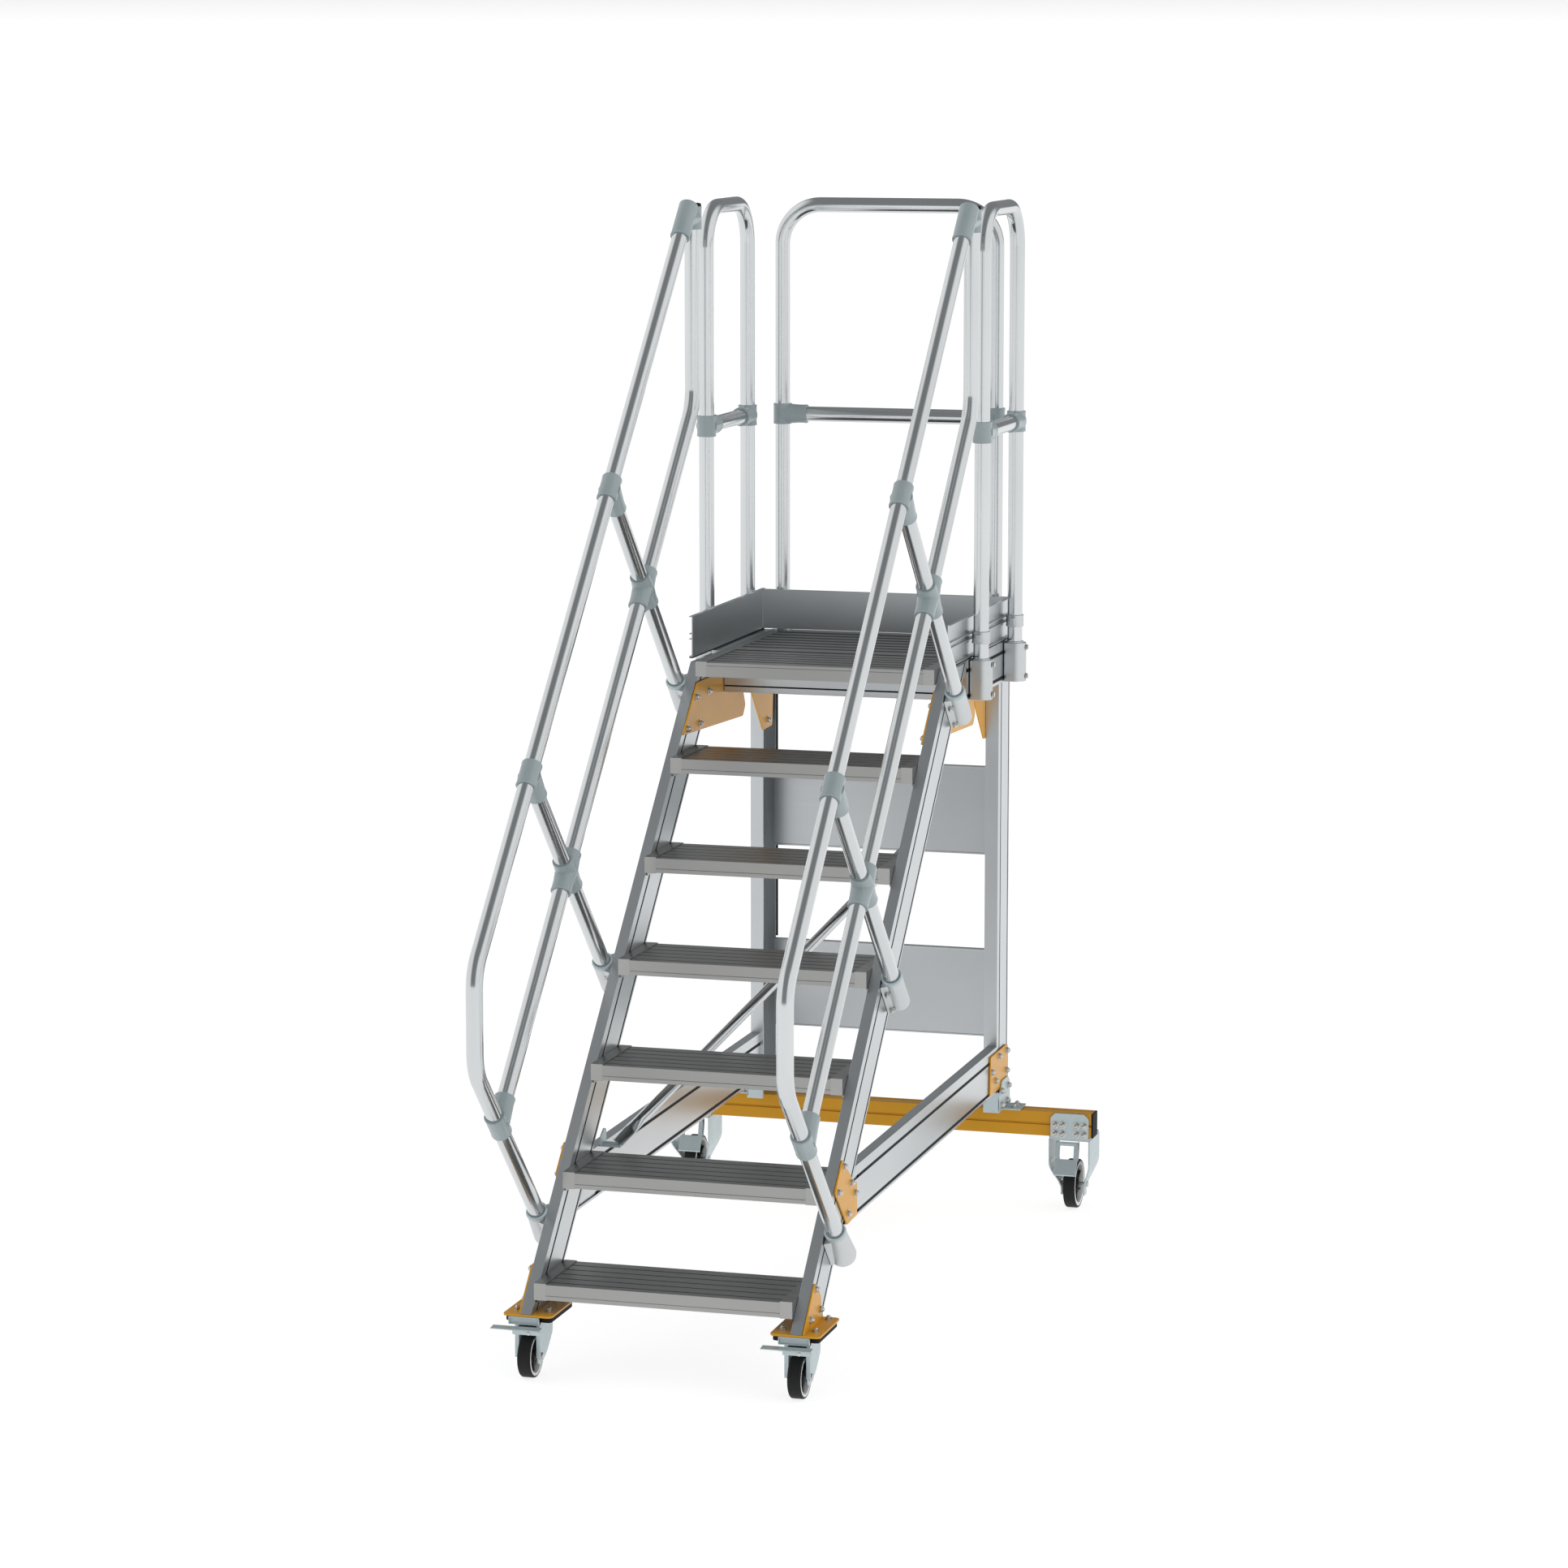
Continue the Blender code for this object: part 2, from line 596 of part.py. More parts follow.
def thick_rod(start, end, radius):
    bm = bmesh.new()
    rod(bm, start, end, radius)
    return bm


def build_knee_rail():
    """Inner rail with the elbow that takes the top of the handrail and the tee at its lower end."""
    top = Vector((RAIL_X, KNEE_TOP_Y, 2.5600))
    corner = Vector((RAIL_X, KNEE_TOP_Y, KNEE_TOP_Y + KNEE_RAIL_LINE))
    low = on_rail(KNEE_RAIL_LINE, LOW_BRACE_SUM)
    rail = bmesh.new()
    tube(rail, [top, corner, low + UP_SLOPE * 0.0120])
    end = Vector((RAIL_X, HANDRAIL_TOP_Y, HANDRAIL_TOP_Y + OUTER_RAIL_LINE))
    solids = [rail, thick_rod(top - Vector((0, 0, 0.0600)), top - Vector((0, 0, 0.0040)), SLEEVE_OUT)]
    solids.append(thick_rod(end - UP_SLOPE * 0.0800, end + UP_SLOPE * 0.0260, SLEEVE_OUT))
    solids.append(thick_rod(low - DOWN_BACK * 0.0340, low + DOWN_BACK * 0.0340, SLEEVE_OUT))
    solids.append(thick_rod(low + UP_SLOPE * 0.0100, low + UP_SLOPE * 0.0700, SLEEVE_OUT))
    bores = [thick_rod(end - UP_SLOPE * 0.1000, end + UP_SLOPE * 0.0004, SLEEVE_IN)]
    bores.append(thick_rod(low - DOWN_BACK * 0.0600, low + DOWN_BACK * 0.0600, SLEEVE_IN))
    return combine(solids, bores)


def build_rail_brace(total):
    """Brace between the rails and the stringer with its two clamps."""
    outer = on_rail(OUTER_RAIL_LINE, total)
    knee = on_rail(KNEE_RAIL_LINE, total)
    foot = low_entry(total) + DOWN_BACK * 0.0850
    solids = [thick_rod(outer + DOWN_BACK * 0.0100, foot, TUBE_R)]
    solids.append(thick_rod(outer - UP_SLOPE * 0.0320, outer + UP_SLOPE * 0.0320, SLEEVE_OUT))
    solids.append(thick_rod(outer + DOWN_BACK * 0.0050, outer + DOWN_BACK * 0.0750, SLEEVE_OUT))
    solids.append(thick_rod(knee - UP_SLOPE * 0.0620, knee + UP_SLOPE * 0.0500, SLEEVE_OUT))
    solids.append(thick_rod(knee - DOWN_BACK * 0.0420, knee + DOWN_BACK * 0.0600, SLEEVE_OUT))
    bores = [thick_rod(outer - UP_SLOPE * 0.0600, outer + UP_SLOPE * 0.0600, SLEEVE_IN)]
    bores.append(thick_rod(knee - UP_SLOPE * 0.1000, knee + UP_SLOPE * 0.1000, SLEEVE_IN))
    return combine(solids, bores)


def add_tee(solids, here, way):
    rise = Vector((0, 0, 0.0260))
    solids.append(thick_rod(here - rise, here + rise, SLEEVE_OUT))
    solids.append(thick_rod(here + way * 0.0050, here + way * 0.0660, SLEEVE_OUT))


def build_guard_side():
    """Side guard: bent hoop, middle rail and the tee clamps between them."""
    feet = PLATFORM_BEAM_LOW + 0.012
    corners = [(RAIL_X, GUARD_NEAR_Y, feet), (RAIL_X, GUARD_NEAR_Y, GUARD_TOP)]
    corners += [(RAIL_X, GUARD_FAR_Y, GUARD_TOP), (RAIL_X, GUARD_FAR_Y, feet)]
    hoop = bmesh.new()
    tube(hoop, corners)
    near, far = Vector((RAIL_X, GUARD_NEAR_Y, MID_RAIL_Z)), Vector((RAIL_X, GUARD_FAR_Y, MID_RAIL_Z))
    inset = Vector((0.0, 0.0040, 0.0))
    solids = [hoop, thick_rod(near + inset, far - inset, TUBE_R)]
    add_tee(solids, near, Vector((0, 1, 0)))
    add_tee(solids, far, Vector((0, -1, 0)))
    return combine(solids)


def build_guard_back():
    """Back guard: bent hoop, middle rail and the tee clamps between them."""
    feet = PLATFORM_BEAM_LOW + 0.012
    x, y, top = BACK_GUARD_X, BACK_GUARD_Y, GUARD_TOP - 0.006
    hoop = bmesh.new()
    tube(hoop, [(-x, y, feet), (-x, y, top), (x, y, top), (x, y, feet)])
    left, right = Vector((-x, y, MID_RAIL_Z)), Vector((x, y, MID_RAIL_Z))
    inset = Vector((0.0040, 0.0, 0.0))
    solids = [hoop, thick_rod(left + inset, right - inset, TUBE_R)]
    add_tee(solids, left, Vector((1, 0, 0)))
    add_tee(solids, right, Vector((-1, 0, 0)))
    return combine(solids)


def cut_corners(x_low, x_high, y_low, y_high, cut):
    points = [(x_low + cut, y_low), (x_high - cut, y_low), (x_high, y_low + cut), (x_high, y_high - cut)]
    points += [(x_high - cut, y_high), (x_low + cut, y_high), (x_low, y_high - cut), (x_low, y_low + cut)]
    return points


def build_adapter():
    """Gold castor plate on a black pad, with a riser lying on the outer face of the stringer."""
    flat, riser, pad, channel = bmesh.new(), bmesh.new(), bmesh.new(), bmesh.new()
    outline = cut_corners(0.2520, 0.3680, -0.0200, 0.1520, 0.010)
    extrude(flat, outline, (0, 0, 0.1450), (1, 0, 0), (0, 1, 0), (0, 0, 1), 0.0050)
    shape = [(-0.0175, 0.1470), (0.1460, 0.1470), (0.1300, 0.1800), (0.1250, 0.2050)]
    shape += [(0.0860, 0.2420), (0.0730, 0.2420)]
    plate_yz(riser, shape, 0.3265, 0.3305)
    outline = cut_corners(0.2560, 0.3640, -0.0100, 0.1450, 0.008)
    extrude(pad, outline, (0, 0, 0.1320), (1, 0, 0), (0, 1, 0), (0, 0, 1), 0.0140)
    box(channel, (0.2810, -0.0190, 0.1322), (0.3480, -0.0080, 0.1460))
    return combine([flat, riser, pad, channel])


def build_front_fork(side):
    """Swivelling fork: bearing, crown, two arms and the axle, about a wheel at this X."""
    x = side * FRONT_X
    centre = (side * SWIVEL_X, SWIVEL_Y)
    bearing, crown = bmesh.new(), bmesh.new()
    rod(bearing, (*centre, 0.1180), (*centre, 0.1316), 0.034, 16)
    box(crown, (x - 0.0240, -0.0285, 0.1160), (x + 0.0240, 0.112, 0.1200))
    arm = [(0.0000, 0.1175), (0.0980, 0.1175), (0.0980, 0.0760), (0.0560, 0.0500), (0.0260, 0.0340)]
    arm += [(0.0120, 0.0300), (-0.0010, 0.0380), (-0.0020, 0.0600)]
    solids = [crown, bearing]
    for x_low in (x + 0.0200, x - 0.0240):
        plate = bmesh.new()
        plate_yz(plate, arm, x_low, x_low + 0.0040)
        solids.append(plate)
    add_axle(solids, x, FRONT_AXLE_Y, FRONT_R, 0.0240)
    return combine(solids)


def add_axle(solids, x, y, z, reach):
    pin = bmesh.new()
    rod(pin, (x - reach - 0.004, y, z), (x + reach + 0.004, y, z), AXLE_R, 12)
    solids.append(pin)
    for way in (1, -1):
        head = bmesh.new()
        rod(head, (x + way * (reach - 0.002), y, z), (x + way * (reach + 0.008), y, z), 0.0080, 6)
        solids.append(head)


def wheel_profile(radius, half):
    """Half section of a wheel as (distance along the axle, radius), closed round the bore."""
    profile = [(half, AXLE_R + 0.0004), (half, 0.0110), (half * 0.55, 0.0130), (half * 0.55, radius * 0.60)]
    profile += [(half * 0.86, radius * 0.66), (half * 0.86, radius * 0.80), (half, radius * 0.82)]
    profile += [(half, radius * 0.93), (half * 0.72, radius)]
    return profile + [(-along, r) for along, r in reversed(profile)]


def add_wheel(name, place, radius, parent=None):
    """Turned wheel: the profile goes round the local Z axis, which lies along the axle."""
    bm = bmesh.new()
    verts = [bm.verts.new((r, 0.0, along)) for along, r in wheel_profile(radius, TYRE_HALF)]
    for before, here in zip(verts, verts[1:] + verts[:1]):
        bm.edges.new((before, here))
    bmesh.ops.translate(bm, verts=bm.verts, vec=Vector(place))
    wheel = add_object(name, bm, "tyre", place, parent)
    wheel.rotation_euler = (0.0, math.pi / 2, 0.0)
    turn = wheel.modifiers.new("turn", "SCREW")
    turn.steps = turn.render_steps = 24
    turn.use_merge_vertices = True
    turn.merge_threshold = 0.0001
    turn.use_smooth_shade = True


def build_front_pedal(side):
    """Brake pedal: long tread bar with a short skirt, hinged at the front of the crown."""
    x = side * FRONT_X
    bar, skirt = bmesh.new(), bmesh.new()
    section = [(-0.0300, 0.1222), (-0.0620, 0.1205), (-0.0620, 0.1235), (-0.0300, 0.1255)]
    plate_yz(bar, section, x - 0.0720, x + 0.0450)
    section = [(-0.0316, 0.1240), (-0.0316, 0.1070), (-0.0345, 0.1060), (-0.0345, 0.1235)]
    plate_yz(skirt, section, x - 0.0360, x + 0.0360)
    return combine([bar, skirt])


def build_rear_castor():
    """Fixed castor: bracket on the traverse, crown, tapering arms and the axle."""
    plate, flange, crown = bmesh.new(), bmesh.new(), bmesh.new()
    x_low, x_high = REAR_X - 0.0490, REAR_X + 0.0500
    outline = [(x_low, 0.1900), (x_high, 0.1900), (x_high, 0.2460), (x_high - 0.012, 0.2560)]
    outline += [(x_low + 0.012, 0.2560), (x_low, 0.2460)]
    extrude(plate, outline, (0, TRAVERSE_FRONT - 0.0054, 0), (1, 0, 0), (0, 0, 1), (0, 1, 0), 0.0050)
    box(flange, (REAR_X - 0.053, TRAVERSE_FRONT - 0.0050, 0.1885), (REAR_X + 0.053, 1.9620, 0.1936))
    box(crown, (REAR_X - 0.054, 1.8500, 0.1840), (REAR_X + 0.054, 1.9600, 0.1890))
    solids = [plate, flange, crown]
    for side in (1, -1):
        arm = bmesh.new()
        loops(arm, [arm_ring(side, *row) for row in REAR_ARM])
        solids.append(arm)
    add_axle(solids, REAR_X, REAR_Y, REAR_R, 0.0310)
    return combine(solids)


def arm_ring(side, z, reach, front, back):
    inner = REAR_X + side * reach
    outer = REAR_X + side * (reach + 0.004)
    return [Vector(p) for p in ((inner, front, z), (outer, front, z), (outer, back, z), (inner, back, z))]


def build_rear_pedal():
    """U-shaped brake lever hanging inside the fork."""
    middle = REAR_X - 0.006
    solids = [bmesh.new()]
    rod(solids[0], (middle - 0.0290, *REAR_PEDAL_PIVOT), (middle + 0.0290, *REAR_PEDAL_PIVOT), 0.0045, 8)
    for side in (1, -1):
        strap = bmesh.new()
        outline = [(1.8600, 0.1805), (1.8600, 0.1660), (1.8400, 0.1330), (1.8340, 0.1330), (1.8500, 0.1805)]
        plate_yz(strap, outline, middle + side * 0.0235 - 0.0025, middle + side * 0.0235 + 0.0025)
        solids.append(strap)
    tread = bmesh.new()
    section = [(1.8415, 0.1370), (1.8240, 0.1010), (1.8200, 0.1030), (1.8350, 0.1370)]
    plate_yz(tread, section, middle - 0.0280, middle + 0.0280)
    solids.append(tread)
    return combine(solids)


clear_scene()
LADDER = bpy.data.collections.new("rolling_warehouse_ladder")
bpy.context.scene.collection.children.link(LADDER)
PLACES = {}


def add_pair(name, kind, make, *values):
    for word, side in (("left", -1), ("right", 1)):
        add_object(f"{name}_{word}", side_mesh(side, make(*values)), kind)


def add_stair():
    add_pair("stringer", "aluminium", build_stringer)
    for index in range(TREAD_COUNT):
        add_object(f"tread_{index + 1}", build_tread(index), "ribbed")
    add_pair("side_beam", "aluminium", build_side_beam)
    add_object("diagonal_brace", build_brace(), "tube")
    add_pair("gusset_stair", "gold", plain, build_gusset_stair)


def add_platform():
    add_object("platform_nosing", build_nosing(), "ribbed")
    add_object("platform_deck", build_rear_deck(), "ribbed")
    front = (PLATFORM_BEAM_FRONT, PLATFORM_BEAM_LOW, TREAD_HALF - 0.006, 0.0660, (0.016,))
    add_object("platform_front_beam", plain(build_cross_beam, *front), "aluminium")
    add_object("platform_rear_beam", build_platform_rear_beam(), "aluminium")
    add_pair("platform_side_beam", "aluminium", build_platform_side_beam)
    add_pair("toe_board", "aluminium", plain, build_toe_side)
    add_object("toe_board_back", plain(build_toe_back), "aluminium")
    add_pair("gusset_platform", "gold", plain, build_gusset_platform)
    add_pair("gusset_rear", "gold", plain, build_gusset_rear)


def add_rear_frame():
    add_pair("rear_post", "aluminium", plain, build_post)
    add_object("cross_panel_upper", plain(build_panel, 0.9050), "aluminium")
    add_object("cross_panel_lower", plain(build_panel, 0.4340), "aluminium")
    add_pair("gusset_foot", "gold", plain, build_gusset_foot)
    add_pair("foot_angle", "zinc", build_foot_angle)
    add_object("traverse", plain(build_traverse), "gold")


def add_rails():
    add_pair("handrail", "tube", plain, build_handrail)
    add_pair("knee_rail", "tube", build_knee_rail)
    add_pair("rail_brace_upper", "tube", build_rail_brace, BRACE_SUMS[0])
    add_pair("rail_brace_middle", "tube", build_rail_brace, BRACE_SUMS[1])
    add_pair("guard_side", "tube", build_guard_side)
    add_object("guard_back", build_guard_back(), "tube")


def add_castors():
    add_pair("castor_adapter", "gold", build_adapter)
    add_pair("rear_castor", "zinc", build_rear_castor)
    for word, side in (("left", -1), ("right", 1)):
        swivel = (side * SWIVEL_X, SWIVEL_Y, 0.1250)
        fork = add_object(f"front_fork_{word}", build_front_fork(side), "zinc", swivel)
        x = side * FRONT_X
        add_wheel(f"front_wheel_{word}", (x, FRONT_AXLE_Y, FRONT_R), FRONT_R, fork)
        add_object(f"front_pedal_{word}", build_front_pedal(side), "zinc", (x, -0.0305, 0.1235), fork)
        add_wheel(f"rear_wheel_{word}", (side * REAR_X, REAR_Y, REAR_R), REAR_R)
        pivot = (side * REAR_X, *REAR_PEDAL_PIVOT)
        add_object(f"rear_pedal_{word}", side_mesh(side, build_rear_pedal()), "zinc", pivot)


add_stair()
add_platform()
add_rear_frame()
add_rails()
add_castors()
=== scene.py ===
"""Looks of the rolling warehouse ladder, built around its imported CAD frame."""

import math

import bmesh
import bpy
from mathutils import Matrix, Vector


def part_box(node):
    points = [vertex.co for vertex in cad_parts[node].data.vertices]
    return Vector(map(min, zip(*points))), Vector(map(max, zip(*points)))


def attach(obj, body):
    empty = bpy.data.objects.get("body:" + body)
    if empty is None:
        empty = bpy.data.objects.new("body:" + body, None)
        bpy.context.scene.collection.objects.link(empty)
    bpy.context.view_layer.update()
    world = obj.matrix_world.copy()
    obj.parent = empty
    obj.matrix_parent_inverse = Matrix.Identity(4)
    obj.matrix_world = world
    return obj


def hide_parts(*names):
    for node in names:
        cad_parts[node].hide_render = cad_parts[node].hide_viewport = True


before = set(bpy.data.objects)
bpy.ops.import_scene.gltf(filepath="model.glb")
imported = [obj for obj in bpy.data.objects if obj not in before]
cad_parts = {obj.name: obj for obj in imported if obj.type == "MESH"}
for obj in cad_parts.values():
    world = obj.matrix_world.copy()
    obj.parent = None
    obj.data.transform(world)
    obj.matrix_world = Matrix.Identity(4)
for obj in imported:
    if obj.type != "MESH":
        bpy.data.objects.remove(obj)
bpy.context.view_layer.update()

# Everything below is drawn from the foot of the stair: Y = 0 at the front of the first tread.
STAIR_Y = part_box("tread_1")[0].y
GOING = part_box("tread_2")[0].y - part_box("tread_1")[0].y
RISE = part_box("tread_2")[1].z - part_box("tread_1")[1].z
TREAD_ONE_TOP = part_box("tread_1")[1].z
TREAD_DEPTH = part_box("tread_1")[1].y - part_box("tread_1")[0].y
TREAD_FACE = 0.0377
TREAD_COUNT = 6
END_PLATE = 0.0289
CLEAR_HALF = 0.300
THICK = 0.026
BEAM = 0.118
FRONT_LINE = 0.169
ROOT2 = math.sqrt(2.0)
SLOT_WIDE = 0.0080
SLOT_DEEP = 0.0040
SEAL = 0.0039
SLOT_FRONT = 0.028
SLOT_BACK = 0.108

DECK_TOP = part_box("platform_nosing")[1].z
NOSE_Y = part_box("platform_nosing")[0].y - STAIR_Y
JOINT_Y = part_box("platform_deck")[0].y - STAIR_Y
DECK_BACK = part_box("platform_deck")[1].y - STAIR_Y
PLATFORM_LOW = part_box("platform_side_beam_right")[0].z
PLATFORM_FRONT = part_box("platform_side_beam_right")[0].y - STAIR_Y
TOE_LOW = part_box("toe_board_right")[0].z
TOE_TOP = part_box("toe_board_right")[1].z
TOE_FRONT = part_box("toe_board_right")[0].y - STAIR_Y
TOE_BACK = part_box("toe_board_right")[1].y - STAIR_Y

POST_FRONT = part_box("rear_post_right")[0].y - STAIR_Y
POST_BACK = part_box("rear_post_right")[1].y - STAIR_Y
POST_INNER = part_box("rear_post_right")[0].x
POST_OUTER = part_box("rear_post_right")[1].x
BEAM_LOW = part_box("side_beam_right")[0].z
TRAVERSE_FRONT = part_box("traverse")[0].y - STAIR_Y
TRAVERSE_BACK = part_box("traverse")[1].y - STAIR_Y
TRAVERSE_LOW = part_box("traverse")[0].z
TRAVERSE_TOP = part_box("traverse")[1].z
TRAVERSE_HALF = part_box("traverse")[1].x
CAP_THICK = 0.005
PANEL_LOW = (0.434, 0.660)
PANEL_HIGH = (0.905, 1.131)

RAIL_X = 0.350
TUBE_R = 0.019
CLAMP_R = 0.0234
HANDRAIL_LINE = 1.198
KNEE_LINE = 0.685
BRACE_SUMS = (2.655, 1.482)
LOW_SUM = 0.511
RAIL_FRONT_Y = -0.233
KNEE_TOP_Y = 1.387
KNEE_TOP_Z = 2.560
HANDRAIL_TOP_Y = 1.343
GUARD_NEAR = 1.504
GUARD_FAR = 1.862
GUARD_TOP = 2.548
MID_RAIL_Z = 2.013
BEND_R = 0.100
BACK_X = 0.279
BACK_Y = 1.938

FRONT_X = 0.313
FRONT_AXLE_Y = 0.012
SWIVEL_X = 0.310
SWIVEL_Y = 0.077
FRONT_R = 0.050
REAR_X = 0.505
REAR_Y = 1.906
REAR_R = 0.0625
TYRE_HALF = 0.0155

DOWN_BACK = Vector((0.0, 1.0, -1.0)).normalized()
UP_SLOPE = Vector((0.0, 1.0, 1.0)).normalized()
X, Y, Z = Vector((1, 0, 0)), Vector((0, 1, 0)), Vector((0, 0, 1))


# ---------------------------------------------------------------- materials

def new_material(name, colour, metallic, roughness):
    mat = bpy.data.materials.new(name)
    mat.use_nodes = True
    shader = mat.node_tree.nodes["Principled BSDF"]
    shader.inputs["Base Color"].default_value = (*colour, 1.0)
    shader.inputs["Metallic"].default_value = metallic
    shader.inputs["Roughness"].default_value = roughness
    return mat, mat.node_tree, shader


def noise(tree, scale, stretch, detail=3.0, run=False):
    """Noise over the object, or over the run of a profile so that its streaks follow the length."""
    if run:
        source = tree.nodes.new("ShaderNodeAttribute")
        source.attribute_name = "run"
        vector = source.outputs["Vector"]
    else:
        source = tree.nodes.new("ShaderNodeTexCoord")
        vector = source.outputs["Object"]
    mapping = tree.nodes.new("ShaderNodeMapping")
    mapping.inputs["Scale"].default_value = stretch
    texture = tree.nodes.new("ShaderNodeTexNoise")
    texture.inputs["Scale"].default_value = scale
    texture.inputs["Detail"].default_value = detail
    tree.links.new(vector, mapping.inputs["Vector"])
    tree.links.new(mapping.outputs["Vector"], texture.inputs["Vector"])
    return texture.outputs["Fac"]


def ramp(tree, fac, stops):
    node = tree.nodes.new("ShaderNodeValToRGB")
    elements = node.color_ramp.elements
    while len(elements) < len(stops):
        elements.new(0.5)
    for element, (place, colour) in zip(elements, stops):
        element.position = place
        element.color = (*colour, 1.0)
    tree.links.new(fac, node.inputs["Fac"])
    return node.outputs["Color"]


def colour_by(tree, shader, fac, dark, light):
    tree.links.new(ramp(tree, fac, ((0.3, dark), (0.7, light))), shader.inputs["Base Color"])


def span(tree, fac, low, high):
    node = tree.nodes.new("ShaderNodeMapRange")
    node.inputs["From Min"].default_value = 0.3
    node.inputs["From Max"].default_value = 0.7
    node.inputs["To Min"].default_value = low
    node.inputs["To Max"].default_value = high
    tree.links.new(fac, node.inputs["Value"])
    return node.outputs["Result"]


def add_bump(tree, shader, fac, strength, distance):
    bump = tree.nodes.new("ShaderNodeBump")
    bump.inputs["Strength"].default_value = strength
    bump.inputs["Distance"].default_value = distance
    tree.links.new(fac, bump.inputs["Height"])
    tree.links.new(bump.outputs["Normal"], shader.inputs["Normal"])


def metal(name, dark, light, rough, streak_bump, streaks=True):
    """Extruded or drawn metal: fine draw lines along the run over soft tonal drift."""
    mat, tree, shader = new_material(name, light, 1.0, rough[0])
    drift = noise(tree, 2.2, (1.0, 1.0, 1.0), 2.0)
    colour_by(tree, shader, drift, dark, light)
    if streaks:
        lines = noise(tree, 1.0, (700.0, 700.0, 5.0), 2.0, run=True)
    else:
        lines = noise(tree, 160.0, (1.0, 1.0, 1.0), 4.0)
    tree.links.new(span(tree, lines, *rough), shader.inputs["Roughness"])
    add_bump(tree, shader, lines, streak_bump, 0.0002)
    return mat


def gold(name, dark, light, run=False):
    """Yellow passivated metal under a thin clear seal: an even colour that pales where it is seen edge on."""
    mat, tree, shader = new_material(name, light, 0.0, 0.24)
    shader.inputs["Specular IOR Level"].default_value = 0.16
    drift = noise(tree, 7.0, (1.0, 1.0, 1.0), 3.0)
    colour_by(tree, shader, drift, dark, light)
    if run:
        grain = noise(tree, 1.0, (500.0, 500.0, 4.0), 2.0, run=True)
    else:
        grain = noise(tree, 260.0, (1.0, 1.0, 1.0), 3.0)
    tree.links.new(span(tree, grain, 0.23, 0.27), shader.inputs["Roughness"])
    add_bump(tree, shader, grain, 0.006, 0.0001)
    return mat


def zinc():
    """Bright zinc plate with small cool spangles."""
    mat, tree, shader = new_material("zinc", (0.45, 0.52, 0.55), 0.45, 0.36)
    cells = tree.nodes.new("ShaderNodeTexVoronoi")
    cells.inputs["Scale"].default_value = 260.0
    source = tree.nodes.new("ShaderNodeTexCoord")
    tree.links.new(source.outputs["Object"], cells.inputs["Vector"])
    spangles = ramp(tree, cells.outputs["Distance"], ((0.0, (0.50, 0.58, 0.60)), (1.0, (0.44, 0.515, 0.535))))
    tree.links.new(spangles, shader.inputs["Base Color"])
    grain = noise(tree, 90.0, (1.0, 1.0, 1.0), 4.0)
    tree.links.new(span(tree, grain, 0.30, 0.46), shader.inputs["Roughness"])
    add_bump(tree, shader, grain, 0.10, 0.0003)
    return mat


def moulded(name, dark, light, rough, grain_scale, bump, specular=0.5):
    """Moulded plastic or rubber with a fine spark-eroded grain."""
    mat, tree, shader = new_material(name, light, 0.0, rough[0])
    shader.inputs["Specular IOR Level"].default_value = specular
    drift = noise(tree, 9.0, (1.0, 1.0, 1.0), 3.0)
    colour_by(tree, shader, drift, dark, light)
    grain = noise(tree, grain_scale, (1.0, 1.0, 1.0), 3.0)
    tree.links.new(span(tree, grain, *rough), shader.inputs["Roughness"])
    add_bump(tree, shader, grain, bump, 0.0003)
    return mat


MATERIALS = {
    "extrusion": metal("extrusion", (0.545, 0.57, 0.585), (0.585, 0.61, 0.625), (0.28, 0.34), 0.01),
    "sheet": metal("sheet", (0.55, 0.575, 0.59), (0.59, 0.615, 0.63), (0.34, 0.42), 0.01),
    "ribbed": metal("ribbed", (0.355, 0.355, 0.347), (0.375, 0.375, 0.367), (0.33, 0.36), 0.002),
    "tread_face": metal("tread_face", (0.36, 0.36, 0.352), (0.385, 0.385, 0.377), (0.26, 0.30), 0.002),
    # painted shade: near-black metal for the strips on the groove floors, where shade falls
    "groove": metal("groove", (0.05, 0.05, 0.05), (0.08, 0.08, 0.08), (0.40, 0.52), 0.03),
    "tube": metal("tube", (0.60, 0.62, 0.63), (0.65, 0.67, 0.68), (0.14, 0.19), 0.008),
    "steel": metal("steel", (0.50, 0.50, 0.49), (0.60, 0.60, 0.58), (0.14, 0.26), 0.05, streaks=False),
    "gold": gold("gold_passivated", (0.62, 0.30, 0.022), (0.66, 0.32, 0.028)),
    "gold_profile": gold("gold_profile", (0.54, 0.26, 0.014), (0.58, 0.28, 0.018), run=True),
    "zinc": zinc(),
    "plastic": moulded("clamp_plastic", (0.28, 0.335, 0.35), (0.32, 0.375, 0.39), (0.20, 0.30), 500.0, 0.05),
    "socket": metal("socket", (0.58, 0.60, 0.61), (0.63, 0.65, 0.66), (0.40, 0.50), 0.02, streaks=False),
    # painted shade: dark grey metal laid inside the rear posts and the fork arms, where shade falls
    "shade": metal("shade", (0.23, 0.25, 0.265), (0.27, 0.29, 0.305), (0.32, 0.42), 0.01),
    "rubber": moulded("black_rubber", (0.01, 0.01, 0.012), (0.016, 0.016, 0.019), (0.55, 0.75), 300, 0.15,
                      0.12),
    "tyre": moulded("tyre", (0.006, 0.006, 0.006), (0.010, 0.010, 0.010), (0.50, 0.68), 240, 0.15, 0.25),
    "rim": moulded("rim", (0.60, 0.61, 0.61), (0.68, 0.69, 0.69), (0.24, 0.36), 260.0, 0.04),
    "hub": moulded("hub", (0.020, 0.019, 0.019), (0.034, 0.032, 0.032), (0.34, 0.48), 260.0, 0.06),
}


# ---------------------------------------------------------------- mesh tools

def box_outline(low_a, low_b, high_a, high_b):
    return [(low_a, low_b), (high_a, low_b), (high_a, high_b), (low_a, high_b)]


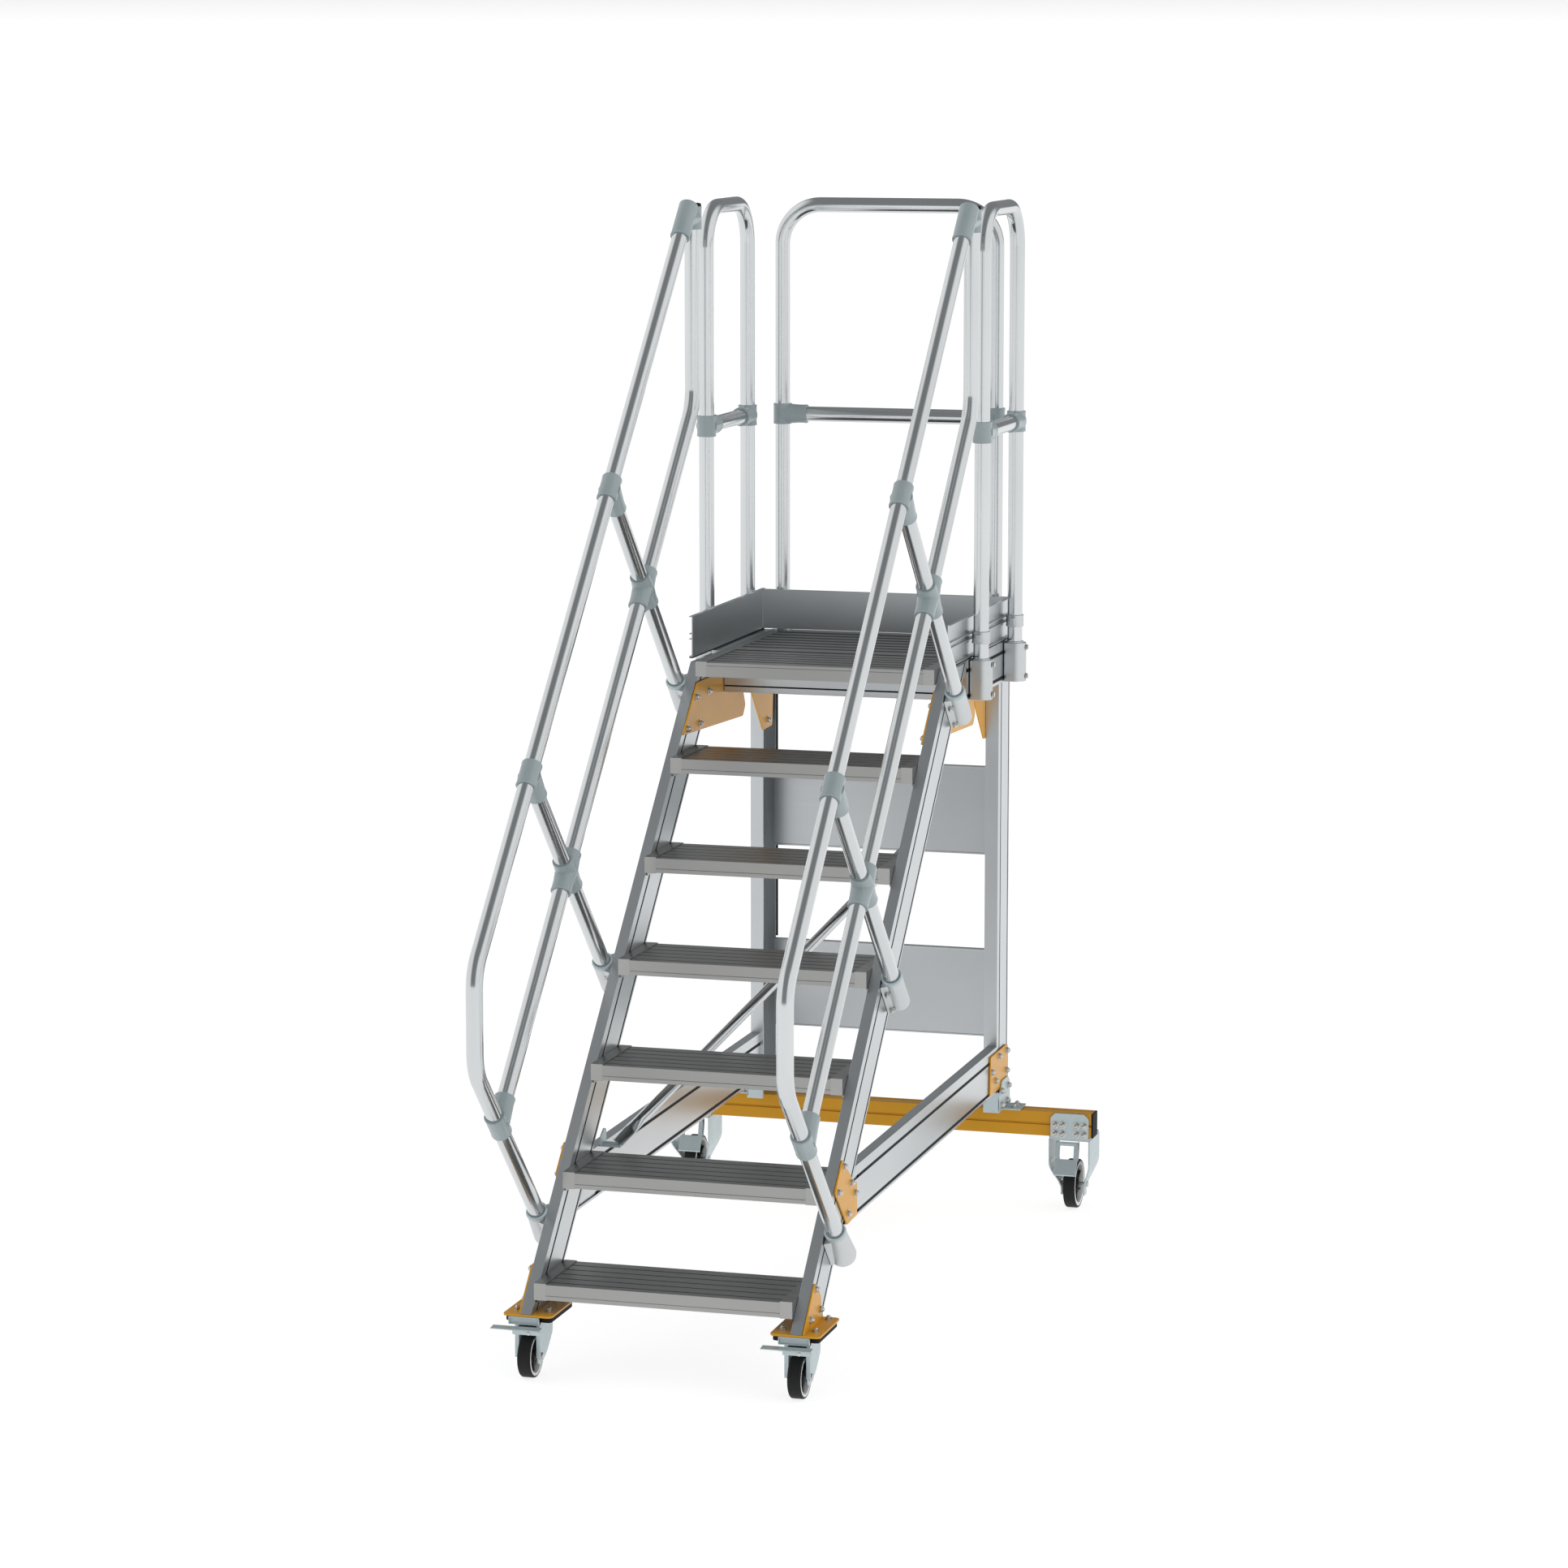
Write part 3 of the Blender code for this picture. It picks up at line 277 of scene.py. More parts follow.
def rounded(outline, radius, steps=3):
    """The outline with each corner turned into a short curve."""
    points = [Vector(p) for p in outline]
    made = []
    for i, here in enumerate(points):
        before, after = points[i - 1], points[(i + 1) % len(points)]
        back, ahead = before - here, after - here
        trim = min(radius, back.length * 0.45, ahead.length * 0.45)
        start, end = here + back.normalized() * trim, here + ahead.normalized() * trim
        for k in range(steps + 1):
            t = k / steps
            made.append(start * (1 - t) ** 2 + here * (2 * t * (1 - t)) + end * t ** 2)
    return [(p.x, p.y) for p in made]


def inset(outline, distance):
    """The outline pulled in by a small distance."""
    points = [Vector(p) for p in outline]
    area = sum(p.x * q.y - q.x * p.y for p, q in zip(points, points[1:] + points[:1]))
    turn = 1.0 if area > 0 else -1.0
    made = []
    for i, here in enumerate(points):
        before, after = points[i - 1], points[(i + 1) % len(points)]
        first, second = (here - before).normalized(), (after - here).normalized()
        normal = Vector((-first.y - second.y, first.x + second.x)) * turn
        if normal.length < 1e-9:
            made.append(here.copy())
            continue
        normal.normalize()
        side = Vector((-first.y, first.x)) * turn
        made.append(here + normal * (distance / max(0.35, normal.dot(side))))
    return [(p.x, p.y) for p in made]


def skin(bm, rings, runs, caps=True, loop=False):
    """Faces between rings of equal length. Each vertex keeps its place along the run."""
    layer = bm.verts.layers.float_vector.get("run") or bm.verts.layers.float_vector.new("run")
    made = []
    for ring, run in zip(rings, runs):
        verts = [bm.verts.new(point) for point in ring]
        for vert, value in zip(verts, run):
            vert[layer] = value
        made.append(verts)
    count = len(made[0])
    pairs = list(zip(made, made[1:])) + ([(made[-1], made[0])] if loop else [])
    for low, high in pairs:
        for i in range(count):
            j = (i + 1) % count
            bm.faces.new((low[i], low[j], high[j], high[i]))
    if caps and not loop:
        bm.faces.new(list(reversed(made[0])))
        bm.faces.new(made[-1])


def prism(bm, outline, origin, across, up, along, length, edge=0.0005):
    """Prism of an outline with a small chamfer round both ends."""
    origin, across, up, along = Vector(origin), Vector(across), Vector(up), Vector(along)
    rings, runs = [], []
    for pull, distance in ((edge, 0.0), (0.0, edge), (0.0, length - edge), (edge, length)):
        ring = inset(outline, pull)
        rings.append([origin + across * a + up * b + along * distance for a, b in ring])
        runs.append([Vector((a, b, distance)) for a, b in ring])
    skin(bm, rings, runs)


def plate(bm, outline, x_low, x_high, radius=0.003, edge=0.0005):
    """Flat plate standing in the YZ plane between two X values."""
    prism(bm, rounded(outline, radius), (x_low, 0, 0), Y, Z, X, x_high - x_low, edge)


def block(bm, low, high, radius=0.001, edge=0.0005):
    outline = box_outline(low[0], low[1], high[0], high[1])
    prism(bm, rounded(outline, radius), (0, 0, low[2]), X, Y, Z, high[2] - low[2], edge)


def full_turn(count):
    return [2 * math.pi * i / count for i in range(count)]


def strip(bm, low, high):
    """Square-edged strip."""
    block(bm, low, high, 0.0001, 0.0001)


def axes_of(direction):
    guide = X if abs(direction.x) < 0.9 else Y
    first = guide.cross(direction).normalized()
    return first, direction.cross(first)


def turned(bm, profile, origin, axis, count=32, loop=False):
    """Turned shape: profile points are (distance along the axis, radius)."""
    axis = Vector(axis).normalized()
    first, second = axes_of(axis)
    rings, runs = [], []
    for along, radius in profile:
        turns = full_turn(count)
        centre = Vector(origin) + axis * along
        rings.append([centre + (first * math.cos(t) + second * math.sin(t)) * radius for t in turns])
        runs.append([Vector((radius * math.cos(t), radius * math.sin(t), along)) for t in turns])
    skin(bm, rings, runs, caps=not loop, loop=loop)


def rod(bm, start, end, radius, count=36, edge=0.0008):
    start, end = Vector(start), Vector(end)
    length = (end - start).length
    profile = [(0, radius - edge), (edge * 0.3, radius - edge * 0.3), (edge, radius)]
    profile += [(length - edge, radius), (length - edge * 0.3, radius - edge * 0.3), (length, radius - edge)]
    turned(bm, profile, start, end - start, count)


def rounded_path(corners, radius, steps):
    """Centre line through the corners, each inner corner turned into an arc."""
    path = [corners[0]]
    for before, here, after in zip(corners, corners[1:], corners[2:]):
        back, ahead = (before - here).normalized(), (after - here).normalized()
        angle = back.angle(ahead)
        trim = radius / math.tan(angle / 2)
        centre = here + (back + ahead).normalized() * (radius / math.sin(angle / 2))
        start, end = here + back * trim - centre, here + ahead * trim - centre
        sweep = start.angle(end)
        for i in range(steps + 1):
            low = math.sin((1 - i / steps) * sweep) / math.sin(sweep)
            high = math.sin(i / steps * sweep) / math.sin(sweep)
            path.append(centre + start * low + end * high)
    return path + [corners[-1]]


def tube(bm, corners, radius=TUBE_R, bend=BEND_R, steps=20, count=40):
    """Round tube along a path that lies in one plane."""
    path = rounded_path([Vector(c) for c in corners], bend, steps)
    crosses = ((b - a).cross(c - b) for a, b, c in zip(path, path[1:], path[2:]))
    straight = axes_of((path[-1] - path[0]).normalized())[0]
    normal = next((cross.normalized() for cross in crosses if cross.length > 1e-7), straight)
    rings, runs, done = [], [], 0.0
    for i, point in enumerate(path):
        behind = (point - path[i - 1]).normalized() if i else Vector()
        ahead = (path[i + 1] - point).normalized() if i + 1 < len(path) else Vector()
        side = (behind + ahead).normalized().cross(normal)
        done += (point - path[i - 1]).length if i else 0.0
        turns = full_turn(count)
        rings.append([point + (side * math.cos(t) + normal * math.sin(t)) * radius for t in turns])
        runs.append([Vector((radius * math.cos(t), radius * math.sin(t), done)) for t in turns])
    skin(bm, rings, runs)


def nut(bm, point, way, radius=0.0078, height=0.0062):
    """Washer, hexagon and domed cap."""
    point, way = Vector(point), Vector(way).normalized()
    turned(bm, [(0.0, radius * 1.30), (0.0010, radius * 1.30), (0.0015, radius * 1.18)], point, way, 24)
    hexagon = [(0.0012, radius * 0.96), (0.0018, radius), (height - 0.0010, radius), (height, radius * 0.87)]
    turned(bm, hexagon, point, way, 6)
    base, rise, wide = height * 0.9, radius * 0.62, radius * 0.74
    dome = [(base + rise * math.sin(t), wide * math.cos(t)) for t in (0.0, 0.4, 0.8, 1.15, 1.45)]
    turned(bm, [(height * 0.6, wide)] + dome, point, way, 20)


def bolt(bm, point, way, radius=0.0075, height=0.0050):
    """Washer and hexagon head."""
    point, way = Vector(point), Vector(way).normalized()
    turned(bm, [(0.0, radius * 1.28), (0.0010, radius * 1.28), (0.0014, radius * 1.18)], point, way, 24)
    turned(bm, [(0.0012, radius), (height + 0.0004, radius), (height + 0.0012, radius * 0.86)], point, way, 6)


def mirrored(bm):
    for vert in bm.verts:
        vert.co.x = -vert.co.x
    bmesh.ops.reverse_faces(bm, faces=bm.faces)
    return bm


def add(name, bm, kind, body="frame", nodes=(), angle=32.0):
    """Turns a mesh drawn from the foot of the stair into a piece that rides on a CAD body."""
    bmesh.ops.recalc_face_normals(bm, faces=bm.faces)
    bmesh.ops.translate(bm, verts=bm.verts, vec=(0.0, STAIR_Y, 0.0))
    mesh = bpy.data.meshes.new(name)
    bm.to_mesh(mesh)
    bm.free()
    mesh.materials.append(MATERIALS[kind])
    mesh.shade_smooth()
    mesh.set_sharp_from_angle(angle=math.radians(angle))
    obj = bpy.data.objects.new(name, mesh)
    bpy.context.scene.collection.objects.link(obj)
    flatten = obj.modifiers.new("flatten", "WEIGHTED_NORMAL")
    flatten.keep_sharp = True
    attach(obj, body)
    if nodes:
        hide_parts(*nodes)
    return obj


def made(build, *values):
    bm = bmesh.new()
    build(bm, *values)
    return bm


def pair(name, kind, build, *values, node=None):
    """The same piece on both sides. node is the CAD node that it stands for, without its side."""
    for word in ("left", "right"):
        bm = made(build, *values)
        nodes = (f"{node}_{word}",) if node else ()
        add(f"{name}_{word}", mirrored(bm) if word == "left" else bm, kind, nodes=nodes)


def whole(name, kind, build, *values, node=None):
    add(name, made(build, *values), kind, nodes=(node,) if node else ())


# ---------------------------------------------------------------- profiles

def slotted(thick, height, slots, wide=SLOT_WIDE, deep=SLOT_DEEP):
    """Rectangle of thickness by height with a T-slot at each place on both faces."""
    lip, half, room = 0.0016, wide / 2, wide / 2 + 0.0022
    points = [(0.0, 0.0), (thick, 0.0)]
    notch = [(0.0, -half), (lip, -half), (lip, -room), (deep, -room)]
    notch += [(a, -b) for a, b in reversed(notch)]
    for at in sorted(slots):
        points += [(thick - a, at + b) for a, b in notch]
    points += [(thick, height), (0.0, height)]
    for at in sorted(slots, reverse=True):
        points += [(a, at - b) for a, b in notch]
    return rounded(points, 0.0007, 2)


def sloped(bm, outline, x_low, low, high):
    """Profile that runs up the slope of the stair, with both ends cut level."""
    rings, runs = [], []
    for z in (low, high):
        rings.append([Vector((x_low + a, z - FRONT_LINE + b * ROOT2, z)) for a, b in outline])
        runs.append([Vector((a, b, z * ROOT2)) for a, b in outline])
    skin(bm, rings, runs)


def stringer(bm):
    sloped(bm, slotted(THICK, BEAM, (SLOT_FRONT, SLOT_BACK)), CLEAR_HALF, 0.1506, 1.4546)


def stringer_seals(bm):
    """Black strips just inside the slots of the stringer."""
    for at in (SLOT_FRONT, SLOT_BACK):
        for face in (CLEAR_HALF + 0.0004, CLEAR_HALF + THICK - 0.0008):
            sloped(bm, box_outline(0.0, at - SEAL, 0.0004, at + SEAL), face, 0.1512, 1.4540)


TREAD_GROOVES = (5, 0.025, 0.040, 0.0033)
NOSING_GROOVES = (5, 0.0428, 0.0405, 0.0085)
DECK_GROOVES = (7, 0.063, 0.051, 0.0130)
GROOVE_DEEP = 0.0030
END_DROP = 0.0024


def tread_section(depth, grooves, first, pitch, half, line=0.73, drop=END_DROP):
    """Tread profile: smooth nose with a fine line, grooved top, two feet below."""
    face, low = TREAD_FACE, -TREAD_FACE
    points = [(0.0, -drop), (0.0, -face * line + 0.0006), (0.0008, -face * line + 0.0003)]
    points += [(0.0008, -face * line - 0.0003), (0.0, -face * line - 0.0006)]
    points += [(0.0, low), (0.018, low), (0.018, low + 0.004), (0.003, low + 0.004), (0.003, -0.0075)]
    points += [(depth - 0.003, -0.0075), (depth - 0.003, low + 0.004), (depth - 0.016, low + 0.004)]
    points += [(depth - 0.016, low), (depth, low), (depth, -drop)]
    for i in reversed(range(grooves)):
        y, floor = first + i * pitch, -drop - GROOVE_DEEP
        points += [(y + half, -drop), (y + half, floor), (y - half, floor), (y - half, -drop)]
    return rounded(points, 0.0006, 2)


def groove_shade_strips(bm, y, z, reach, grooves, first, pitch, half, drop=END_DROP):
    """Painted shade: near-black strips on the groove floors, where shade falls in the grooves."""
    for i in range(grooves):
        middle, top = y + first + i * pitch, z - drop - 0.0005
        strip(bm, (-reach, middle - half, top - 0.0012), (reach, middle + half, top))


def end_plates(bm, y, z, depth, lower=0.0014):
    """Smooth plates at both ends of a tread, standing a little above and below it."""
    low = -TREAD_FACE - lower
    outline = rounded(box_outline(0.0, low, depth, 0.0), 0.0008)
    inner, outer = CLEAR_HALF - END_PLATE, CLEAR_HALF - 0.0005
    for start in (inner, -outer):
        prism(bm, outline, (start, y, z), Y, Z, X, outer - inner, 0.0002)


def tread_body(bm, index):
    y, z = index * GOING, TREAD_ONE_TOP + index * RISE
    inner = CLEAR_HALF - END_PLATE
    prism(bm, tread_section(TREAD_DEPTH, *TREAD_GROOVES), (-inner, y, z), Y, Z, X, 2 * inner, 0.0001)


# Painted shade: near-black strips on the floors of a tread's grooves.
def tread_groove_shade(bm, index):
    y, z = index * GOING, TREAD_ONE_TOP + index * RISE
    groove_shade_strips(bm, y, z, CLEAR_HALF - END_PLATE, *TREAD_GROOVES)


def tread_ends(bm, index):
    """End plates of a tread, each with the flange that bolts to the stringer."""
    y, z = index * GOING, TREAD_ONE_TOP + index * RISE
    face, outer = TREAD_FACE + 0.0003, CLEAR_HALF - 0.0005
    end_plates(bm, y, z, TREAD_DEPTH)
    low, back = -face - 0.0115, TREAD_DEPTH - 0.004
    flange = [(0.018, low), (back - 0.008, low), (back, -face), (0.008, -face)]
    for start in (outer - 0.0040, -outer):
        prism(bm, rounded(flange, 0.003), (start, y, z + 0.0006), Y, Z, X, 0.0040, 0.0006)


def nosing(bm):
    depth = JOINT_Y - 0.0008 - NOSE_Y
    inner = CLEAR_HALF - END_PLATE
    outline = tread_section(depth, *NOSING_GROOVES, 0.27)
    prism(bm, outline, (-inner, NOSE_Y, DECK_TOP), Y, Z, X, 2 * inner, 0.0001)


def nosing_ends(bm):
    end_plates(bm, NOSE_Y, DECK_TOP, JOINT_Y - 0.0008 - NOSE_Y, 0.0)


def deck(bm):
    """Rear deck: a smooth frame round seven grooves."""
    half, depth = CLEAR_HALF - 0.0005, DECK_BACK - JOINT_Y
    rib_half = half - 0.029
    outline = tread_section(depth, *DECK_GROOVES, drop=0.0010)
    prism(bm, outline, (-rib_half, JOINT_Y, DECK_TOP), Y, Z, X, 2 * rib_half, 0.0001)
    side = rounded(box_outline(0.0, -TREAD_FACE, depth, 0.0), 0.0008)
    for low in (-half, rib_half):
        prism(bm, side, (low, JOINT_Y, DECK_TOP), Y, Z, X, half - rib_half, 0.0002)
    margin = rounded(box_outline(0.0, -0.004, 0.040, 0.0), 0.0006)
    for y in (JOINT_Y, DECK_BACK - 0.040):
        prism(bm, margin, (-rib_half, y, DECK_TOP), Y, Z, X, 2 * rib_half, 0.0001)


# Painted shade: near-black strips on the floors of the nosing and deck grooves.
def platform_groove_shade(bm):
    groove_shade_strips(bm, NOSE_Y, DECK_TOP, CLEAR_HALF - END_PLATE, *NOSING_GROOVES)
    groove_shade_strips(bm, JOINT_Y, DECK_TOP, CLEAR_HALF - 0.0297, *DECK_GROOVES, 0.0010)


def straight_beam(bm, x_low, y_low, z_low, length, height, slots, along="y", wide=SLOT_WIDE):
    """Slotted beam that runs along Y, or along X with its faces front and back."""
    outline = slotted(THICK, height, slots, wide)
    if along == "y":
        prism(bm, outline, (x_low, y_low, z_low), X, Z, Y, length)
    else:
        prism(bm, outline, (x_low, y_low, z_low), Y, Z, X, length)


def side_beam(bm):
    outline = slotted(THICK, BEAM, (0.010, BEAM - SLOT_FRONT))
    back_line = FRONT_LINE - BEAM * ROOT2
    start = [Vector((CLEAR_HALF + a, BEAM_LOW + b - back_line + 0.0008, BEAM_LOW + b)) for a, b in outline]
    end = [Vector((CLEAR_HALF + a, POST_FRONT - 0.0004, BEAM_LOW + b)) for a, b in outline]
    runs = [[Vector((a, b, p.y)) for (a, b), p in zip(outline, ring)] for ring in (start, end)]
    skin(bm, [start, end], runs)


def beam_seals(bm):
    """Black strips in the slots of the side beams and platform beams."""
    rows = (
        (BEAM_LOW + 0.010, 0.46, POST_FRONT - 0.002),
        (BEAM_LOW + BEAM - SLOT_FRONT, 0.46, POST_FRONT - 0.002),
        (PLATFORM_LOW + 0.012, PLATFORM_FRONT + 0.002, POST_BACK - 0.002),
        (DECK_TOP - 0.001 - SLOT_FRONT, PLATFORM_FRONT + 0.002, POST_BACK - 0.002),
    )
    for z, y_low, y_high in rows:
        for face in (CLEAR_HALF + 0.0004, CLEAR_HALF + THICK - 0.0008):
            strip(bm, (face, y_low, z - SEAL), (face + 0.0004, y_high, z + SEAL))


def front_beam_seal(bm):
    """Thin dark line along the front face of the beam under the nosing."""
    y, z, half = PLATFORM_FRONT + 0.0004, PLATFORM_LOW + 0.016, CLEAR_HALF - 0.008
    strip(bm, (-half, y, z - 0.0016), (half, y + 0.0006, z + 0.0016))


def toe_outline():
    height = TOE_TOP - TOE_LOW
    web, lip, thick = 0.0026, 0.0097, 0.0022
    points = [(0.0, 0.0), (lip, 0.0), (lip, thick), (web, thick)]
    for at in (0.043, 0.056):
        points += [(web, at), (lip, at), (lip, at + thick), (web, at + thick)]
    points += [(web, height - thick), (lip, height - thick), (lip, height), (0.0, height)]
    return rounded(points, 0.0006, 2)


def toe_side(bm):
    prism(bm, toe_outline(), (0.3203, TOE_FRONT, TOE_LOW), X, Z, Y, TOE_BACK - TOE_FRONT)


def toe_back(bm):
    prism(bm, toe_outline(), (-0.3199, 1.8952, TOE_LOW), Y, Z, X, 2 * 0.3199)


def toe_gaskets(bm):
    front, back = TOE_FRONT + 0.004, TOE_BACK - 0.004
    for x in (-0.3300, 0.3205):
        block(bm, (x, front, TOE_LOW - 0.0032), (x + 0.0095, back, TOE_LOW - 0.0002), 0.0008)


def post(bm):
    wall, depth = 0.003, POST_BACK - POST_FRONT
    x_in, x_out = POST_INNER, POST_OUTER
    points = [(x_out, 0.0)]
    half, floor = SLOT_WIDE / 2, x_out - 0.0022
    for at in (SLOT_FRONT, SLOT_BACK):
        points += [(x_out, at - half), (floor, at - half), (floor, at + half), (x_out, at + half)]
    points += [(x_out, depth), (x_in, depth), (x_in, depth - wall), (x_out - wall, depth - wall)]
    points += [(x_out - wall, wall), (x_in, wall), (x_in, 0.0)]
    length = PLATFORM_LOW - TRAVERSE_TOP - 0.0008
    prism(bm, rounded(points, 0.0008, 2), (0.0, POST_FRONT, TRAVERSE_TOP + 0.0004), X, Y, Z, length)


def post_strips(bm):
    """Black seals in the slots of a rear post, and the black edge strip behind it."""
    z_low, z_high = TRAVERSE_TOP + 0.001, PLATFORM_LOW - 0.001
    for at in (SLOT_FRONT, SLOT_BACK):
        y = POST_FRONT + at
        strip(bm, (POST_OUTER - 0.0014, y - SEAL, z_low), (POST_OUTER - 0.0004, y + SEAL, z_high))
    edge, back = POST_INNER - 0.0006, POST_BACK - 0.0010
    for low, high in ((PANEL_LOW[1] + 0.004, PANEL_HIGH[0] - 0.003), (PANEL_HIGH[1] + 0.003, z_high)):
        block(bm, (edge - 0.0052, back - 0.0035, low), (edge, back, high), 0.0008)


def post_painted_shade(bm):
    """Painted shade: a dark strip inside a rear post, between its flanges, where shade falls."""
    z_low, z_high = TRAVERSE_TOP + 0.001, PLATFORM_LOW - 0.001
    front, back = POST_FRONT + 0.0032, POST_BACK - 0.0032
    strip(bm, (POST_OUTER - 0.0038, front, z_low), (POST_OUTER - 0.0032, back, z_high))


def panel(bm, z_low, z_high):
    half, front = POST_INNER - 0.0006, 1.894
    points = [(0.0, z_low), (0.020, z_low), (0.020, z_high), (0.0, z_high)]
    points += [(0.0, z_high - 0.004), (0.0015, z_high - 0.004), (0.0015, z_low + 0.004), (0.0, z_low + 0.004)]
    prism(bm, rounded(points, 0.0008, 2), (-half, front, 0.0), Y, Z, X, 2 * half)


def traverse(bm):
    height, depth = TRAVERSE_TOP - TRAVERSE_LOW, TRAVERSE_BACK - TRAVERSE_FRONT
    mid, half = height / 2, 0.0028
    low, high = mid - half, mid + half
    points = [(0.0, 0.0), (depth, 0.0)]
    points += [(depth, low), (depth - 0.004, low), (depth - 0.004, high), (depth, high)]
    points += [(depth, height), (depth - 0.012, height), (depth - 0.0125, height - 0.0015)]
    points += [(0.0125, height - 0.0015), (0.012, height), (0.0, height)]
    points += [(0.0, high), (0.004, high), (0.004, low), (0.0, low)]
    start = -TRAVERSE_HALF + CAP_THICK
    prism(bm, rounded(points, 0.0010, 3), (start, TRAVERSE_FRONT, TRAVERSE_LOW), Y, Z, X, -2 * start)


def traverse_cap(bm):
    inner = TRAVERSE_HALF - CAP_THICK
    for x_low, x_high, wall, radius, edge in (
        (inner + 0.0001, TRAVERSE_HALF, 0.0, 0.0015, 0.0010),
        (TRAVERSE_HALF - 0.012, inner, 0.004, 0.001, 0.0005),
    ):
        front, back = TRAVERSE_FRONT + wall, TRAVERSE_BACK - wall
        outline = box_outline(front, TRAVERSE_LOW + wall, back, TRAVERSE_TOP - wall)
        plate(bm, outline, x_low, x_high, radius, edge)


# Gold plates in the YZ plane: outline, inner and outer X, corner radius.
GUSSETS = {
    "gusset_stair": (
        [(0.306, 0.473), (0.402, 0.400), (0.430, 0.393), (0.430, 0.318), (0.346, 0.3125), (0.242, 0.409)],
        0.3265, 0.3305, 0.006,
    ),
    "gusset_platform": (
        [(1.1250, 1.2960), (1.6350, 1.2750), (1.6570, 1.3010), (1.6000, 1.4100), (1.2450, 1.4100)],
        0.2955, 0.2995, 0.008,
    ),
    "gusset_rear": (
        [(1.6400, 1.4150), (1.6400, 1.3750), (1.7860, 1.2180), (1.8670, 1.2200), (1.8870, 1.4150)],
        0.2865, 0.2905, 0.006,
    ),
    "gusset_foot": (
        [(1.7120, 0.3180), (1.9050, 0.3180), (1.9050, 0.4080), (1.8950, 0.4180), (1.7180, 0.4180)],
        0.3265, 0.3305, 0.005,
    ),
}


def gusset(name):
    pair(name, "gold", plate, *GUSSETS[name], 0.0007, node=name)


def foot_angle(bm):
    outline = [(1.7955, 0.2578), (1.9100, 0.2578), (1.9100, 0.3200)]
    outline += [(1.8900, 0.3360), (1.8300, 0.3360), (1.7955, 0.3000)]
    plate(bm, outline, 0.3310, 0.3345, 0.006, 0.0006)
    block(bm, (0.3320, 1.8400, 0.2578), (0.3780, 1.9120, 0.2615), 0.005)
    block(bm, (0.2920, 1.7955, 0.2578), (0.3335, 1.7995, 0.3105), 0.0005)


def diagonal_brace(bm):
    """Tube under the stair with pressed flat ends."""
    low, high = Vector((-0.262, 0.4930, 0.4325)), Vector((0.297, 1.1453, 1.0850))
    line = (high - low).normalized()
    side = line.cross(Vector((0, -0.7071, 0.7071))).normalized()
    up = side.cross(line)
    flat, tube_half = (0.0165, 0.0030), (0.0125, 0.0125)
    shape = [(0.0, flat), (0.042, flat), (0.052, (0.016, 0.005))]
    shape += [(0.066, (0.0142, 0.0095)), (0.080, tube_half)]
    rows = [(low + line * along, size) for along, size in shape]
    rows += [(high - line * along, size) for along, size in reversed(shape)]
    rings, runs = [], []
    for centre, (wide, thin) in rows:
        turns, done = full_turn(36), (centre - low).length
        rings.append([centre + side * (wide * math.cos(t)) + up * (thin * math.sin(t)) for t in turns])
        runs.append([Vector((0.0125 * math.cos(t), 0.0125 * math.sin(t), done)) for t in turns])
    skin(bm, rings, runs)


def brace_lugs(bm):
    block(bm, (-0.2994, 0.4790, 0.4240), (-0.2500, 0.5120, 0.4300), 0.002)
    ear = [(0.4760, 0.4240), (0.5150, 0.4240), (0.5150, 0.4600), (0.5000, 0.4640), (0.4760, 0.4500)]
    plate(bm, ear, -0.2994, -0.2960)
    plate(bm, [(1.0400, 1.0400), (1.0900, 1.0900), (1.1500, 1.0950), (1.1500, 1.0750)], 0.3035, 0.3085, 0.002)


# ---------------------------------------------------------------- rails and clamps

def on_rail(line, total):
    return Vector((RAIL_X, (total - line) / 2, (total + line) / 2))


def entry(total):
    """Where a brace with this Y+Z sum crosses the front edge of the stringer."""
    return on_rail(FRONT_LINE, total)


HANDRAIL_TOP = Vector((RAIL_X, HANDRAIL_TOP_Y, HANDRAIL_TOP_Y + HANDRAIL_LINE))
KNEE_TOP = Vector((RAIL_X, KNEE_TOP_Y, KNEE_TOP_Z))
KNEE_END = on_rail(KNEE_LINE, LOW_SUM)


def handrail(bm):
    corner = Vector((RAIL_X, RAIL_FRONT_Y, RAIL_FRONT_Y + HANDRAIL_LINE))
    knee = Vector((RAIL_X, RAIL_FRONT_Y, LOW_SUM - RAIL_FRONT_Y))
    tube(bm, [HANDRAIL_TOP, corner, knee, entry(LOW_SUM) + DOWN_BACK * 0.085])


def knee_rail(bm):
    corner = Vector((RAIL_X, KNEE_TOP_Y, KNEE_TOP_Y + KNEE_LINE))
    tube(bm, [KNEE_TOP, corner, KNEE_END + UP_SLOPE * 0.012])


def rail_brace(bm, total):
    tube(bm, [on_rail(HANDRAIL_LINE, total) + DOWN_BACK * 0.010, entry(total) + DOWN_BACK * 0.085])


def cap(bm):
    """Black cap on the upper end of the knee rail."""
    turned(bm, [(-0.004, 0.0225), (0.0008, 0.0225), (0.0028, 0.0212), (0.0038, 0.0170)], KNEE_TOP, Z, 36)


def sleeve(bm, start, end, radius=CLAMP_R, lips=(True, True)):
    """Clamp sleeve with a raised lip at its open ends."""
    length = (end - start).length
    plain = [(0.0, radius - 0.001), (0.0008, radius)]
    lip = [(0.0, radius - 0.0012), (0.0010, radius + 0.0004), (0.0040, radius + 0.0006), (0.0060, radius)]
    first, last = (lip if raised else plain for raised in lips)
    turned(bm, first + [(length - a, r) for a, r in reversed(last)], start, end - start, 40)


def cone(bm, start, end, radius_start, radius_end):
    turned(bm, [(0.0, radius_start), ((end - start).length, radius_end)], start, end - start, 40)


def tee_clamp(bm, here, run, half, way, reach, throat, wide=0.0262):
    """Sleeve along the run, and one along the way out that swells towards it."""
    sleeve(bm, here - run * half, here + run * half)
    sleeve(bm, here, here + way * reach, lips=(False, True))
    cone(bm, here, here + way * throat, wide, CLAMP_R)


